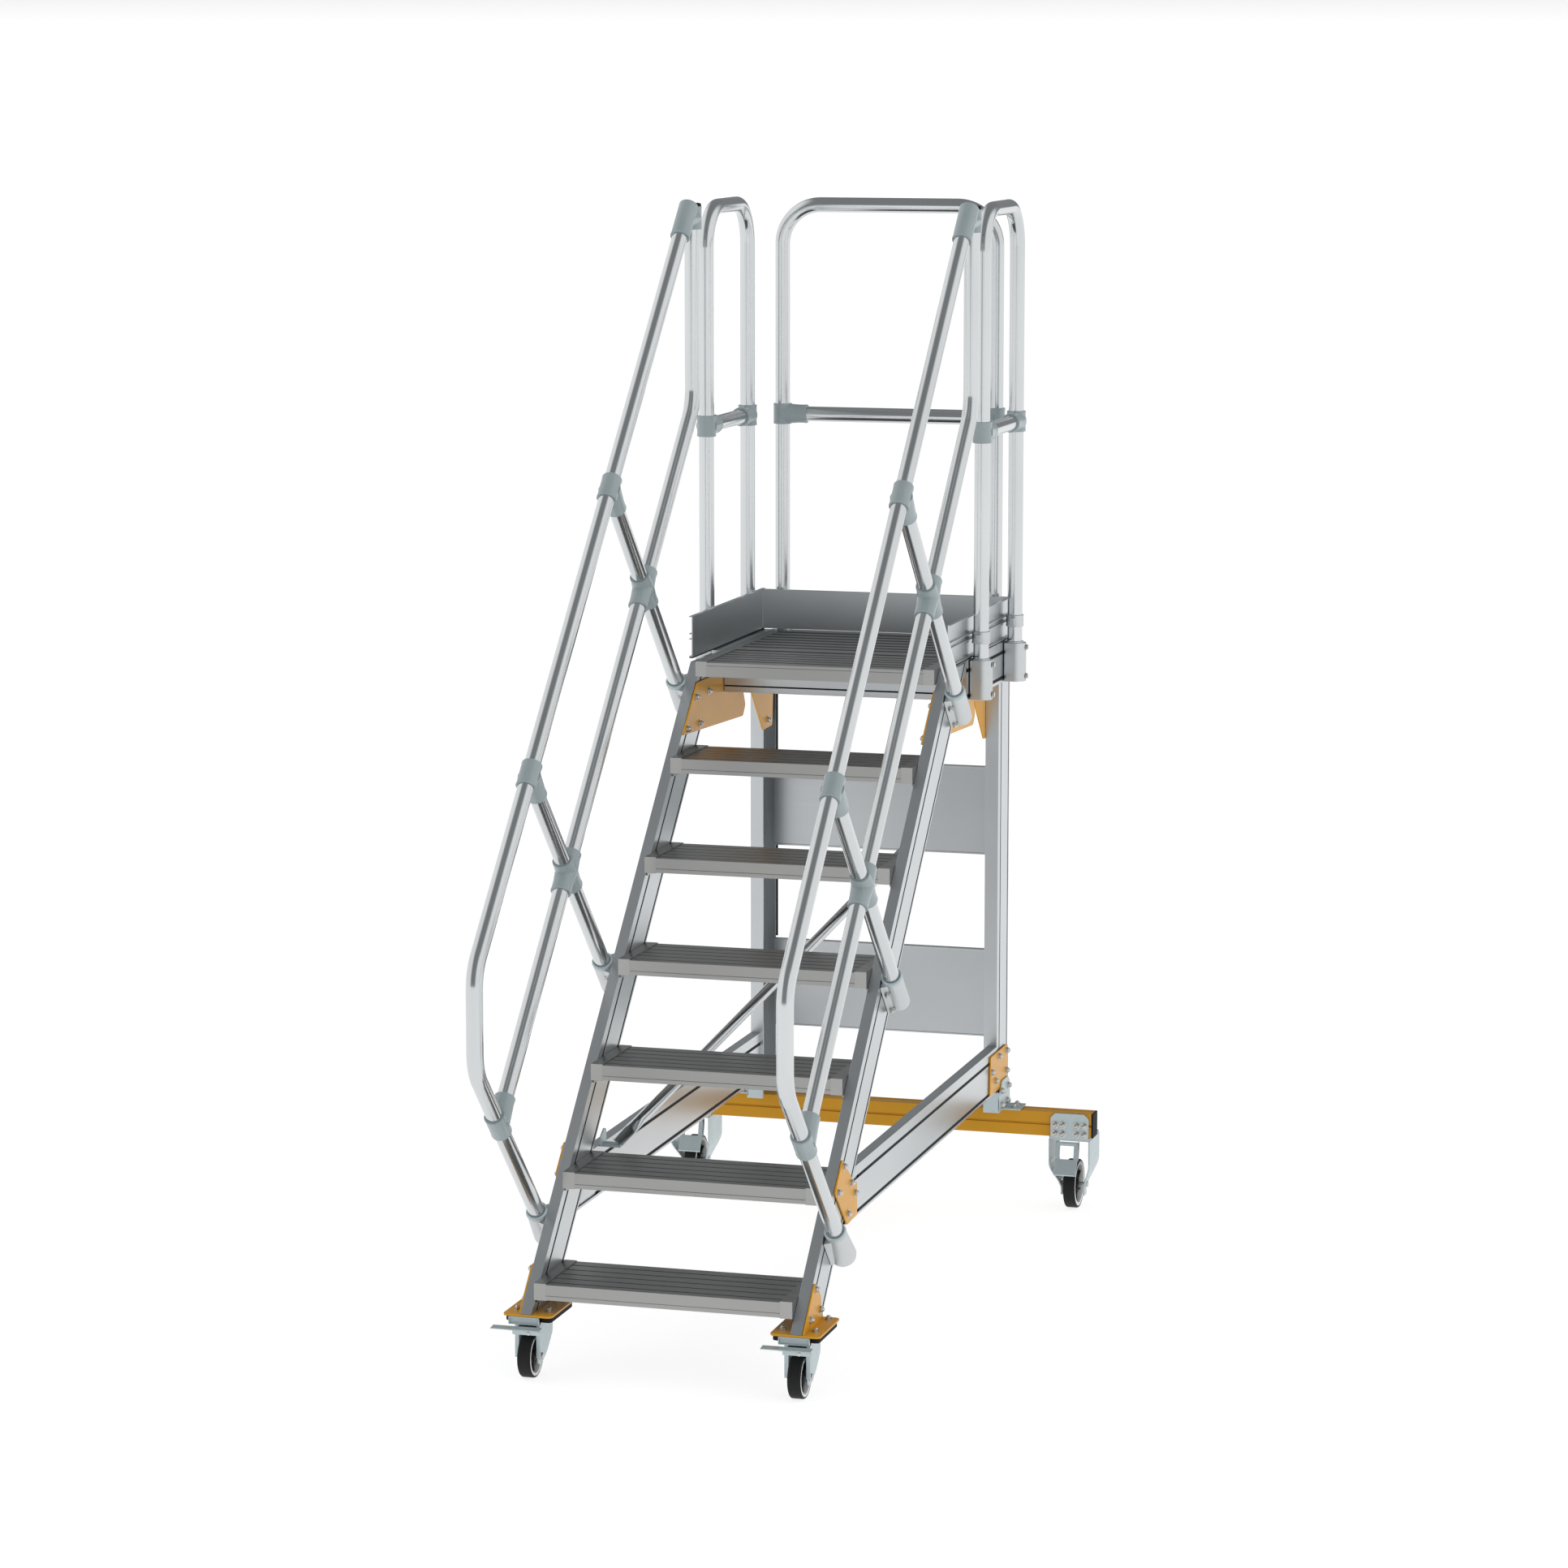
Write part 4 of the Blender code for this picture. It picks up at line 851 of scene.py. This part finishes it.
def handrail_clamp(bm, total):
    """Tee clamp that ties a brace to the handrail."""
    tee_clamp(bm, on_rail(HANDRAIL_LINE, total), UP_SLOPE, 0.032, DOWN_BACK, 0.075, 0.056, 0.0265)


def knee_clamp(bm, total):
    """Cross clamp where a brace passes the knee rail."""
    here = on_rail(KNEE_LINE, total)
    sleeve(bm, here - UP_SLOPE * 0.062, here + UP_SLOPE * 0.050)
    sleeve(bm, here - DOWN_BACK * 0.042, here + DOWN_BACK * 0.060)
    for way in (DOWN_BACK, -DOWN_BACK, UP_SLOPE, -UP_SLOPE):
        cone(bm, here, here + way * 0.036, 0.0262, CLAMP_R)


def low_clamp(bm):
    tee_clamp(bm, KNEE_END, DOWN_BACK, 0.034, UP_SLOPE, 0.070, 0.052)


def top_elbow(bm):
    end = HANDRAIL_TOP
    sleeve(bm, end - UP_SLOPE * 0.080, end + UP_SLOPE * 0.024, lips=(True, False))
    sleeve(bm, KNEE_TOP - Z * 0.060, KNEE_TOP - Z * 0.004)
    cone(bm, end - UP_SLOPE * 0.020, KNEE_TOP - Z * 0.032, 0.0236, 0.0236)


def tee(bm, here, way):
    tee_clamp(bm, here, Z, 0.026, way, 0.066, 0.044)


def guard_side(bm):
    feet = PLATFORM_LOW + 0.012
    corners = [(RAIL_X, GUARD_NEAR, feet), (RAIL_X, GUARD_NEAR, GUARD_TOP)]
    tube(bm, corners + [(RAIL_X, GUARD_FAR, GUARD_TOP), (RAIL_X, GUARD_FAR, feet)])
    tube(bm, [(RAIL_X, GUARD_NEAR, MID_RAIL_Z), (RAIL_X, GUARD_FAR, MID_RAIL_Z)])


def guard_side_tees(bm):
    tee(bm, Vector((RAIL_X, GUARD_NEAR, MID_RAIL_Z)), Y)
    tee(bm, Vector((RAIL_X, GUARD_FAR, MID_RAIL_Z)), -Y)


def guard_back(bm):
    feet, top = PLATFORM_LOW + 0.012, GUARD_TOP - 0.006
    tube(bm, [(-BACK_X, BACK_Y, feet), (-BACK_X, BACK_Y, top), (BACK_X, BACK_Y, top), (BACK_X, BACK_Y, feet)])
    tube(bm, [(-BACK_X, BACK_Y, MID_RAIL_Z), (BACK_X, BACK_Y, MID_RAIL_Z)])


def guard_back_tees(bm):
    tee(bm, Vector((-BACK_X, BACK_Y, MID_RAIL_Z)), X)
    tee(bm, Vector((BACK_X, BACK_Y, MID_RAIL_Z)), -X)


def stringer_socket(bm, total):
    """Socket on the outer face of the stringer: a sleeve on a wedge-shaped foot."""
    start = entry(total)
    foot = [(0.3265, -0.0300), (0.3440, -0.0236), (0.3500, -0.0225)]
    foot += [(a, -b) for a, b in reversed(foot)]
    body = [(0.002, 0.0232), (0.004, 0.0245), (0.100, 0.0250), (0.1055, 0.0232), (0.107, 0.0200)]
    gap, length = 0.006, 0.100
    if total == LOW_SUM:
        body = [(0.0, 0.0225), (0.004, 0.024), (0.060, 0.0275)]
        body += [(0.096, 0.030), (0.1035, 0.0285), (0.107, 0.024)]
        gap, length = 0.010, 0.090
    turned(bm, body, start, DOWN_BACK, 48)
    origin = Vector((0.0, start.y, start.z)) + DOWN_BACK * gap
    prism(bm, rounded(foot, 0.002), origin, X, UP_SLOPE, DOWN_BACK, length, 0.002)


def socket_rim(bm, total):
    """Rounded mouth of a stringer socket, with a shadow gap round the tube."""
    start = entry(total)
    mouth = [(0.006, 0.0225), (0.006, 0.0252), (0.001, 0.0256), (-0.003, 0.0246)]
    mouth += [(-0.0045, 0.0225), (-0.0040, 0.0196), (0.006, 0.0196)]
    turned(bm, mouth, start, DOWN_BACK, 48, loop=True)


def upright_socket(bm, y):
    """D-shaped block that holds a leg of the side guard."""
    low, high = PLATFORM_LOW + 0.001, PLATFORM_LOW + 0.099
    half = [(0.3266, -0.025), (0.362, -0.025), (0.379, -0.010)]
    outline = [(x, y + b) for x, b in half] + [(x, y - b) for x, b in reversed(half)]
    prism(bm, rounded(outline, 0.008, 4), (0, 0, low), X, Y, Z, high - low, 0.0010)
    turned(bm, [(0.0, 0.0222), (0.0030, 0.0222), (0.0042, 0.0205)], (RAIL_X, y, high - 0.0002), Z, 36)


def ring_clip(bm, x, y, way):
    """Clamp ring on a guard leg above the toe board."""
    sleeve(bm, Vector((x, y, 1.497)), Vector((x, y, 1.527)), 0.0220)
    ear = Vector((x, y, 0.0)) + way * 0.026
    block(bm, (ear.x - 0.006, ear.y - 0.006, 1.503), (ear.x + 0.006, ear.y + 0.006, 1.521), 0.002)


def rear_beam(bm):
    straight_beam(bm, -0.284, POST_BACK - THICK, PLATFORM_LOW, 0.568, 0.066, (0.020,), "x")


def back_sockets(bm):
    for side in (-1, 1):
        x = side * BACK_X
        outline = [(x - 0.030, 1.9260), (x + 0.030, 1.9260), (x + 0.030, 1.9520), (x + 0.017, 1.9650)]
        outline += [(x - 0.017, 1.9650), (x - 0.030, 1.9520)]
        prism(bm, rounded(outline, 0.006, 4), (0, 0, PLATFORM_LOW + 0.001), X, Y, Z, 0.098, 0.0010)
        block(bm, (side * 0.2665 - 0.0165, 1.9160, 1.3600), (side * 0.2665 + 0.0165, 1.9300, 1.4200), 0.002)


# ---------------------------------------------------------------- fasteners

PLATE_OUT = 0.3305


def nuts(bm, x, places, way=X):
    """Cap nuts on a face that looks along X."""
    for y, z in places:
        nut(bm, (x, y, z), way)


def stair_nuts(bm):
    nuts(bm, PLATE_OUT, ((0.315, 0.455), (0.378, 0.403), (0.270, 0.405), (0.412, 0.372), (0.350, 0.338)))
    for total in BRACE_SUMS:
        for along in (0.035, 0.098):
            point = entry(total) + DOWN_BACK * along - X * 0.0115 - UP_SLOPE * 0.0250
            nut(bm, point, -UP_SLOPE, 0.0066, 0.0070)


def foot_nuts(bm):
    nuts(bm, PLATE_OUT, ((1.887, 0.403), (1.806, 0.404), (1.728, 0.378), (1.768, 0.348), (1.885, 0.352)))
    nuts(bm, PLATE_OUT + 0.0040, ((1.890, 0.312), (1.818, 0.312), (1.880, 0.275), (1.820, 0.275)))
    for y in (1.860, 1.893):
        nut(bm, (0.358, y, 0.2615), Z)


def platform_nuts(bm):
    nuts(bm, 0.2955, ((1.237, 1.375), (1.339, 1.377), (1.263, 1.307), (1.162, 1.307)), -X)
    nuts(bm, 0.2865, ((1.825, 1.240), (1.700, 1.385)), -X)
    for y in (GUARD_NEAR, GUARD_FAR):
        for z in (1.372, 1.445):
            bolt(bm, (0.3790, y, z), X, 0.0065)
    bolt(bm, (0.3262, 1.640, 1.400), X, 0.0055)


def adapter_nuts(bm):
    nuts(bm, PLATE_OUT, ((0.082, 0.230), (0.118, 0.176), (0.036, 0.172)))
    for x in (0.272, 0.346):
        for y in (0.024, 0.130):
            nut(bm, (x, y, 0.1500), Z, 0.0074)


def rear_bolts(bm):
    for x in (0.468, 0.487, 0.524, 0.543):
        for z in (0.2255, 0.2030):
            nut(bm, (x, TRAVERSE_FRONT - 0.0054, z), -Y, 0.0072, 0.0080)


# ---------------------------------------------------------------- castors

def adapter(bm):
    """Gold castor plate and the riser on the outer face of the stringer."""
    flat = box_outline(0.252, -0.020, 0.368, 0.152)
    prism(bm, rounded(flat, 0.014, 6), (0, 0, 0.1450), X, Y, Z, 0.0050, 0.0007)
    riser = [(-0.0175, 0.1490), (0.1460, 0.1490), (0.1300, 0.1800)]
    riser += [(0.1250, 0.2050), (0.0860, 0.2420), (0.0730, 0.2420)]
    plate(bm, riser, 0.3265, 0.3305, 0.006, 0.0007)


def adapter_pad(bm):
    outline = box_outline(0.256, -0.010, 0.364, 0.145)
    prism(bm, rounded(outline, 0.010, 5), (0, 0, 0.1322), X, Y, Z, 0.0127, 0.0010)


def castor_channel(bm, x):
    """Pressed channel in front of the pad: a frame round a shallow recess."""
    low, high, front, back = x - 0.0400, x + 0.0320, -0.0215, -0.0080
    block(bm, (low, front + 0.0040, 0.1282), (high, back, 0.1448), 0.0006)
    block(bm, (low, front, 0.1418), (high, back, 0.1449), 0.0008, 0.0006)
    block(bm, (low, front, 0.1272), (high, back, 0.1296), 0.0008, 0.0006)
    for edge in (low, high - 0.0026):
        block(bm, (edge, front, 0.1274), (edge + 0.0026, back, 0.1446), 0.0008, 0.0006)


def front_fork(bm, x, swivel_x):
    """Pressed fork: raceway, crown, arms and the folded front edge of the outer arm."""
    race = [(0.0, 0.0300), (0.0015, 0.0335), (0.0060, 0.0340), (0.0072, 0.0310)]
    race += [(0.0085, 0.0335), (0.0125, 0.0340), (0.0134, 0.0320)]
    turned(bm, race, (swivel_x, SWIVEL_Y, 0.1180), Z, 48)
    crown = box_outline(x - 0.0236, -0.0180, x + 0.0236, 0.112)
    prism(bm, rounded(crown, 0.010, 5), (0, 0, 0.1162), X, Y, Z, 0.0036, 0.0010)
    arm = [(-0.0040, 0.1240), (0.0200, 0.1310), (0.0980, 0.1310), (0.1000, 0.0860), (0.0620, 0.0500)]
    arm += [(0.0300, 0.0330), (0.0140, 0.0290), (-0.0010, 0.0340), (-0.0040, 0.0500)]
    for low in (x + 0.0205, x - 0.0238):
        plate(bm, arm, low, low + 0.0033, 0.010, 0.0008)
    for low in (x + 0.0200, x - 0.0300):
        flange = box_outline(low, 0.0480, low + 0.0100, 0.1300)
        prism(bm, rounded(flange, 0.0015), (0, -0.0062, 0), X, Z, Y, 0.0028, 0.0006)


def axle(bm, x, y, z, reach):
    for way in (1, -1):
        bolt(bm, (x + way * reach, y, z), X * way, 0.0080, 0.0058)
    rod(bm, (x - reach, y, z), (x + reach, y, z), 0.0044, 20)


def tyre(bm, x, y, radius):
    half, inner, bend = TYRE_HALF, radius * 0.925, 0.0042
    turns = (0.0, 0.3, 0.6, 0.9, 1.2, 1.5)
    curve = [(half - bend + bend * math.cos(t), radius - bend + bend * math.sin(t)) for t in turns]
    side = [(half * 0.90, inner - 0.0030), (half * 0.99, inner)] + curve
    profile = side + [(0.0, radius)] + [(-a, r) for a, r in reversed(side)]
    turned(bm, profile, (x, y, radius), X, 84, loop=True)


def rim(bm, x, y, radius):
    """Pale ring inside the tyre, stepping back to a deep recess."""
    outer, inner, half = radius * 0.924, radius * 0.775, TYRE_HALF
    face = [(0.0030, inner - 0.0018), (half - 0.0060, inner - 0.0012), (half - 0.0012, inner)]
    face += [(half - 0.0004, inner + 0.0012), (half - 0.0004, outer - 0.0010), (half - 0.0012, outer)]
    profile = face + [(-a, r) for a, r in reversed(face)]
    turned(bm, profile, (x, y, radius), X, 84, loop=True)


def hub(bm, x, y, radius):
    """Web, six spokes and the hub boss."""
    inner = radius * 0.775 - 0.0018
    web = [(-0.0035, inner), (-0.0025, 0.006), (0.0025, 0.006), (0.0035, inner)]
    turned(bm, web, (x, y, radius), X, 60, loop=True)
    boss = [(-0.0140, 0.0052), (-0.0140, 0.0100), (-0.0125, 0.0112)]
    boss += [(-a, r) for a, r in reversed(boss)]
    turned(bm, boss, (x, y, radius), X, 36, loop=True)
    for i in range(6):
        turn = Matrix.Rotation(math.pi * i / 3, 3, "X")
        across, up = turn @ Y, turn @ Z
        tip = inner - 0.0005
        spoke = rounded([(-0.0018, 0.0100), (0.0018, 0.0100), (0.0026, tip), (-0.0026, tip)], 0.0005)
        prism(bm, spoke, (x - 0.0095, y, radius), across, up, X, 0.0190, 0.0010)


def front_pedal(bm, x):
    """Wide brake bar with a stepped skirt below it."""
    bar = [(-0.0310, 0.1235), (-0.0520, 0.1215), (-0.0535, 0.1240), (-0.0310, 0.1262)]
    plate(bm, bar, x - 0.0720, x + 0.0430, 0.0008)
    for low, z_low, z_high in ((-0.0360, 0.1160, 0.1245), (-0.0260, 0.1080, 0.1170)):
        step = [(-0.0316, z_low), (-0.0345, z_low), (-0.0360, z_high), (-0.0316, z_high)]
        plate(bm, step, x + low, x + 0.0405, 0.0006)


def pedal_rivet(bm, x):
    turned(bm, [(0.0, 0.0050), (0.0012, 0.0048), (0.0024, 0.0030)], (x + 0.012, -0.0348, 0.1125), -Y, 20)


def rear_fork(bm):
    """Bracket on the traverse, crown and tapering arms."""
    x_low, x_high = REAR_X - 0.0490, REAR_X + 0.0500
    outline = [(x_low, 0.1900), (x_high, 0.1900), (x_high, 0.2440)]
    outline += [(x_high - 0.012, 0.2560), (x_low + 0.012, 0.2560), (x_low, 0.2440)]
    prism(bm, rounded(outline, 0.003), (0, TRAVERSE_FRONT - 0.0054, 0), X, Z, Y, 0.0050, 0.0007)
    front = TRAVERSE_FRONT - 0.0050
    block(bm, (REAR_X - 0.053, front, 0.1885), (REAR_X + 0.053, 1.9620, 0.1934), 0.004, 0.0008)
    block(bm, (REAR_X - 0.0536, 1.8500, 0.1842), (REAR_X + 0.0536, 1.9600, 0.1884), 0.004, 0.0008)
    for side in (1, -1):
        fork_arm(bm, side)


def fork_painted_shade(bm):
    """Painted shade: dark strips on the inner faces of the fork arms, above the bend, where shade falls."""
    for side in (1, -1):
        low = REAR_X + side * 0.0497 - 0.0002
        strip(bm, (low, 1.8485, 0.1290), (low + 0.0004, 1.9600, 0.1835))


def fork_arm(bm, side):
    """Sheet arm: parallel down to the bend, then closing on the axle along a smooth curve."""
    rows, runs = [], []
    for i in range(25):
        t = i / 24
        z = 0.1870 - 0.1530 * t
        draw = min(1.0, max(0.0, (t - 0.40) / 0.52))
        ease = draw * draw * (3 - 2 * draw)
        reach = 0.0500 - 0.0230 * ease
        front, back = 1.8470 + 0.0430 * ease, 1.9620 - 0.0420 * ease
        x_in, x_out = REAR_X + side * reach, REAR_X + side * (reach + 0.0038)
        ring = rounded(box_outline(x_in, front, x_out, back), 0.0010, 2)
        rows.append([Vector((a, b, z)) for a, b in ring])
        runs.append([Vector((a, b, z)) for a, b in ring])
    skin(bm, rows, runs)


def rear_pedal(bm):
    """Stamped brake lever: a window frame with folded sides over a pedal with a rolled lip."""
    middle, pivot = REAR_X - 0.006, (1.8555, 0.1745)
    rod(bm, (middle - 0.0290, *pivot), (middle + 0.0290, *pivot), 0.0044, 20)
    section = [(1.8440, 0.1350), (1.8555, 0.1800), (1.8525, 0.1808), (1.8412, 0.1358)]
    for low in (middle - 0.0290, middle + 0.0180):
        plate(bm, section, low, low + 0.0110, 0.0006, 0.0005)
    head = [(1.8543, 0.1755), (1.8555, 0.1808), (1.8525, 0.1808), (1.8513, 0.1760)]
    plate(bm, head, middle - 0.0290, middle + 0.0290, 0.0006)
    strap = [(1.8660, 0.1805), (1.8660, 0.1640), (1.8560, 0.1330), (1.8400, 0.1330), (1.8520, 0.1805)]
    for low in (middle - 0.0290, middle + 0.0265):
        plate(bm, strap, low, low + 0.0025, 0.003, 0.0006)
    tread = [(1.8440, 0.1370), (1.8240, 0.1020), (1.8212, 0.1038), (1.8412, 0.1385)]
    plate(bm, tread, middle - 0.0290, middle + 0.0290, 0.0008, 0.0006)
    rod(bm, (middle - 0.0290, 1.8232, 0.1018), (middle + 0.0290, 1.8232, 0.1018), 0.0030, 16)


# ---------------------------------------------------------------- assembly

def build_stair():
    pair("stringer", "extrusion", stringer, node="stringer")
    pair("stringer_seals", "rubber", stringer_seals)
    for index in range(TREAD_COUNT):
        whole(f"tread_body_{index + 1}", "ribbed", tread_body, index, node=f"tread_{index + 1}")
        whole(f"tread_ends_{index + 1}", "tread_face", tread_ends, index)
        # near-black strips that paint the shade in the tread grooves
        whole(f"tread_groove_shade_{index + 1}", "groove", tread_groove_shade, index)
    pair("side_beam", "extrusion", side_beam, node="side_beam")
    pair("beam_seals", "rubber", beam_seals)
    whole("brace_tube", "tube", diagonal_brace, node="diagonal_brace")
    whole("brace_lugs", "zinc", brace_lugs)
    gusset("gusset_stair")
    pair("stair_nuts", "steel", stair_nuts)
    for index, total in enumerate(BRACE_SUMS + (LOW_SUM,)):
        pair(f"stringer_socket_{index + 1}", "socket", stringer_socket, total)
        pair(f"socket_rim_{index + 1}", "zinc", socket_rim, total)


def build_platform():
    whole("nosing", "ribbed", nosing, node="platform_nosing")
    whole("nosing_ends", "tread_face", nosing_ends)
    whole("deck", "ribbed", deck, node="platform_deck")
    # near-black strips that paint the shade in the platform grooves
    whole("platform_groove_shade", "groove", platform_groove_shade)
    half = CLEAR_HALF - 0.006
    values = (-half, PLATFORM_FRONT, PLATFORM_LOW, 2 * half, 0.0660, (0.016,), "x", 0.0034)
    whole("front_beam", "extrusion", straight_beam, *values, node="platform_front_beam")
    whole("front_beam_seal", "rubber", front_beam_seal)
    whole("rear_beam", "extrusion", rear_beam, node="platform_rear_beam")
    whole("back_sockets", "socket", back_sockets)
    height = DECK_TOP - 0.001 - PLATFORM_LOW
    length, slots = POST_BACK - PLATFORM_FRONT, (0.012, height - SLOT_FRONT)
    values = (CLEAR_HALF, PLATFORM_FRONT, PLATFORM_LOW, length, height, slots)
    pair("platform_beam", "extrusion", straight_beam, *values, node="platform_side_beam")
    for word, y in (("near", GUARD_NEAR), ("far", GUARD_FAR)):
        pair(f"upright_socket_{word}", "socket", upright_socket, y)
        pair(f"ring_clip_{word}", "socket", ring_clip, RAIL_X, y, -Y)
    pair("toe_side", "extrusion", toe_side, node="toe_board")
    whole("toe_back", "extrusion", toe_back, node="toe_board_back")
    whole("toe_gaskets", "rubber", toe_gaskets)
    gusset("gusset_platform")
    gusset("gusset_rear")
    pair("platform_nuts", "steel", platform_nuts)


def build_rear_frame():
    pair("post", "extrusion", post, node="rear_post")
    pair("post_strips", "rubber", post_strips)
    # dark strip that paints the shade inside each rear post
    pair("post_painted_shade", "shade", post_painted_shade)
    whole("panel_upper", "sheet", panel, *PANEL_HIGH, node="cross_panel_upper")
    whole("panel_lower", "sheet", panel, *PANEL_LOW, node="cross_panel_lower")
    gusset("gusset_foot")
    pair("foot_angle", "zinc", foot_angle, node="foot_angle")
    pair("foot_nuts", "steel", foot_nuts)
    whole("traverse_profile", "gold_profile", traverse, node="traverse")
    pair("traverse_cap", "rubber", traverse_cap)


def build_rails():
    pair("handrail", "tube", handrail, node="handrail")
    pair("knee_rail", "tube", knee_rail, node="knee_rail")
    pair("rail_cap", "rubber", cap)
    pair("top_elbow", "plastic", top_elbow)
    pair("low_clamp", "plastic", low_clamp)
    for word, total in (("upper", BRACE_SUMS[0]), ("middle", BRACE_SUMS[1])):
        pair(f"rail_brace_{word}", "tube", rail_brace, total, node=f"rail_brace_{word}")
        pair(f"handrail_clamp_{word}", "plastic", handrail_clamp, total)
        pair(f"knee_clamp_{word}", "plastic", knee_clamp, total)
    pair("guard_side", "tube", guard_side, node="guard_side")
    pair("guard_side_tees", "plastic", guard_side_tees)
    whole("guard_back", "tube", guard_back, node="guard_back")
    whole("guard_back_tees", "plastic", guard_back_tees)


def build_wheel(end, word, place):
    wheel = f"{end}_wheel_{word}"
    for part, build in (("tyre", tyre), ("rim", rim), ("hub", hub)):
        add(f"{end}_{part}_{word}", made(build, *place), part, wheel, (wheel,) if part == "tyre" else ())


def build_front_castor(word, side):
    """The pedal bar reaches to the same side on both castors, so nothing here is mirrored."""
    x, place = side * FRONT_X, (side * FRONT_X, FRONT_AXLE_Y, FRONT_R)
    swivel, pedal = f"front_swivel_{word}", f"front_pedal_{word}"
    add(f"castor_channel_{word}", made(castor_channel, x), "zinc")
    add(f"fork_{word}", made(front_fork, x, side * SWIVEL_X), "zinc", swivel, (f"front_fork_{word}",))
    add(f"front_axle_{word}", made(axle, *place, 0.0240), "steel", swivel)
    build_wheel("front", word, place)
    add(f"front_brake_pedal_{word}", made(front_pedal, x), "zinc", pedal, (pedal,))
    add(f"front_pedal_rivets_{word}", made(pedal_rivet, x), "steel", pedal)


def build_rear_castor(word, side):
    place, pedal = (side * REAR_X, REAR_Y, REAR_R), f"rear_pedal_{word}"
    build_wheel("rear", word, place)
    add(f"rear_axle_{word}", made(axle, *place, 0.0312), "steel")
    bm = made(rear_pedal)
    add(f"rear_brake_pedal_{word}", bm if side > 0 else mirrored(bm), "zinc", pedal, (pedal,))


def build_castors():
    pair("adapter_plate", "gold", adapter, node="castor_adapter")
    pair("adapter_pad", "rubber", adapter_pad)
    pair("adapter_nuts", "steel", adapter_nuts)
    pair("rear_castor_fork", "zinc", rear_fork, node="rear_castor")
    # dark strips that paint the shade inside the rear fork arms
    pair("rear_fork_painted_shade", "shade", fork_painted_shade)
    pair("rear_castor_bolts", "steel", rear_bolts)
    for word, side in (("left", -1), ("right", 1)):
        build_front_castor(word, side)
        build_rear_castor(word, side)


# ---------------------------------------------------------------- stage

FLOOR_HALF = 400.0
CAMERA_YAW = 16.021
CAMERA_DROP = 8.807
CAMERA_PLACE = (3.1636, -10.0397, 2.9880)
LENS_MM = 112.32


def build_floor():
    bm = bmesh.new()
    bmesh.ops.create_grid(bm, x_segments=1, y_segments=1, size=FLOOR_HALF)
    mesh = bpy.data.meshes.new("floor")
    bm.to_mesh(mesh)
    bm.free()
    mat, _, shader = new_material("floor", (0.36, 0.36, 0.36), 0.0, 0.8)
    shader.inputs["Specular IOR Level"].default_value = 0.1
    shader.inputs["Emission Color"].default_value = (1.0, 1.0, 1.0, 1.0)
    shader.inputs["Emission Strength"].default_value = 0.80
    mesh.materials.append(mat)
    floor = bpy.data.objects.new("floor", mesh)
    bpy.context.scene.collection.objects.link(floor)


def build_world():
    """Soft studio: bright walls to the left and right, a dim ceiling between them, a white horizon."""
    world = bpy.data.worlds.new("studio")
    world.use_nodes = True
    tree = world.node_tree
    background = tree.nodes["Background"]
    coords = tree.nodes.new("ShaderNodeTexCoord")
    split = tree.nodes.new("ShaderNodeSeparateXYZ")
    tree.links.new(coords.outputs["Generated"], split.inputs["Vector"])
    aside = tree.nodes.new("ShaderNodeMath")
    aside.operation = "ABSOLUTE"
    tree.links.new(split.outputs["X"], aside.inputs[0])
    walls = ramp(tree, aside.outputs["Value"], ((0.40, (0.25, 0.26, 0.265)), (0.62, (1.0, 1.0, 1.0))))
    horizon = ramp(tree, split.outputs["Z"], ((0.0, (1.0, 1.0, 1.0)), (0.05, (0.0, 0.0, 0.0))))
    lighter = tree.nodes.new("ShaderNodeVectorMath")
    lighter.operation = "MAXIMUM"
    tree.links.new(walls, lighter.inputs[0])
    tree.links.new(horizon, lighter.inputs[1])
    tree.links.new(lighter.outputs["Vector"], background.inputs["Color"])
    background.inputs["Strength"].default_value = 1.02
    bpy.context.scene.world = world


def add_sun(direction, strength, angle):
    """Soft light from above that leaves no highlight of its own."""
    light = bpy.data.lights.new("overhead", "SUN")
    light.energy = strength
    light.angle = math.radians(angle)
    obj = bpy.data.objects.new("overhead", light)
    bpy.context.scene.collection.objects.link(obj)
    obj.rotation_euler = Vector(direction).to_track_quat("-Z", "Y").to_euler()
    obj.visible_glossy = False


def build_camera():
    data = bpy.data.cameras.new("camera")
    data.lens = LENS_MM
    data.sensor_width = 36.0
    data.clip_end = 1000.0
    camera = bpy.data.objects.new("camera", data)
    bpy.context.scene.collection.objects.link(camera)
    camera.location = Vector(CAMERA_PLACE) + Vector((0.0, STAIR_Y, 0.0))
    camera.rotation_euler = (math.radians(90.0 - CAMERA_DROP), 0.0, math.radians(CAMERA_YAW))
    bpy.context.scene.camera = camera


build_stair()
build_platform()
build_rear_frame()
build_rails()
build_castors()
build_floor()
build_world()
add_sun((-0.35, 0.55, -1.0), 0.6, 120.0)
build_camera()
bpy.context.scene.view_settings.view_transform = "Standard"
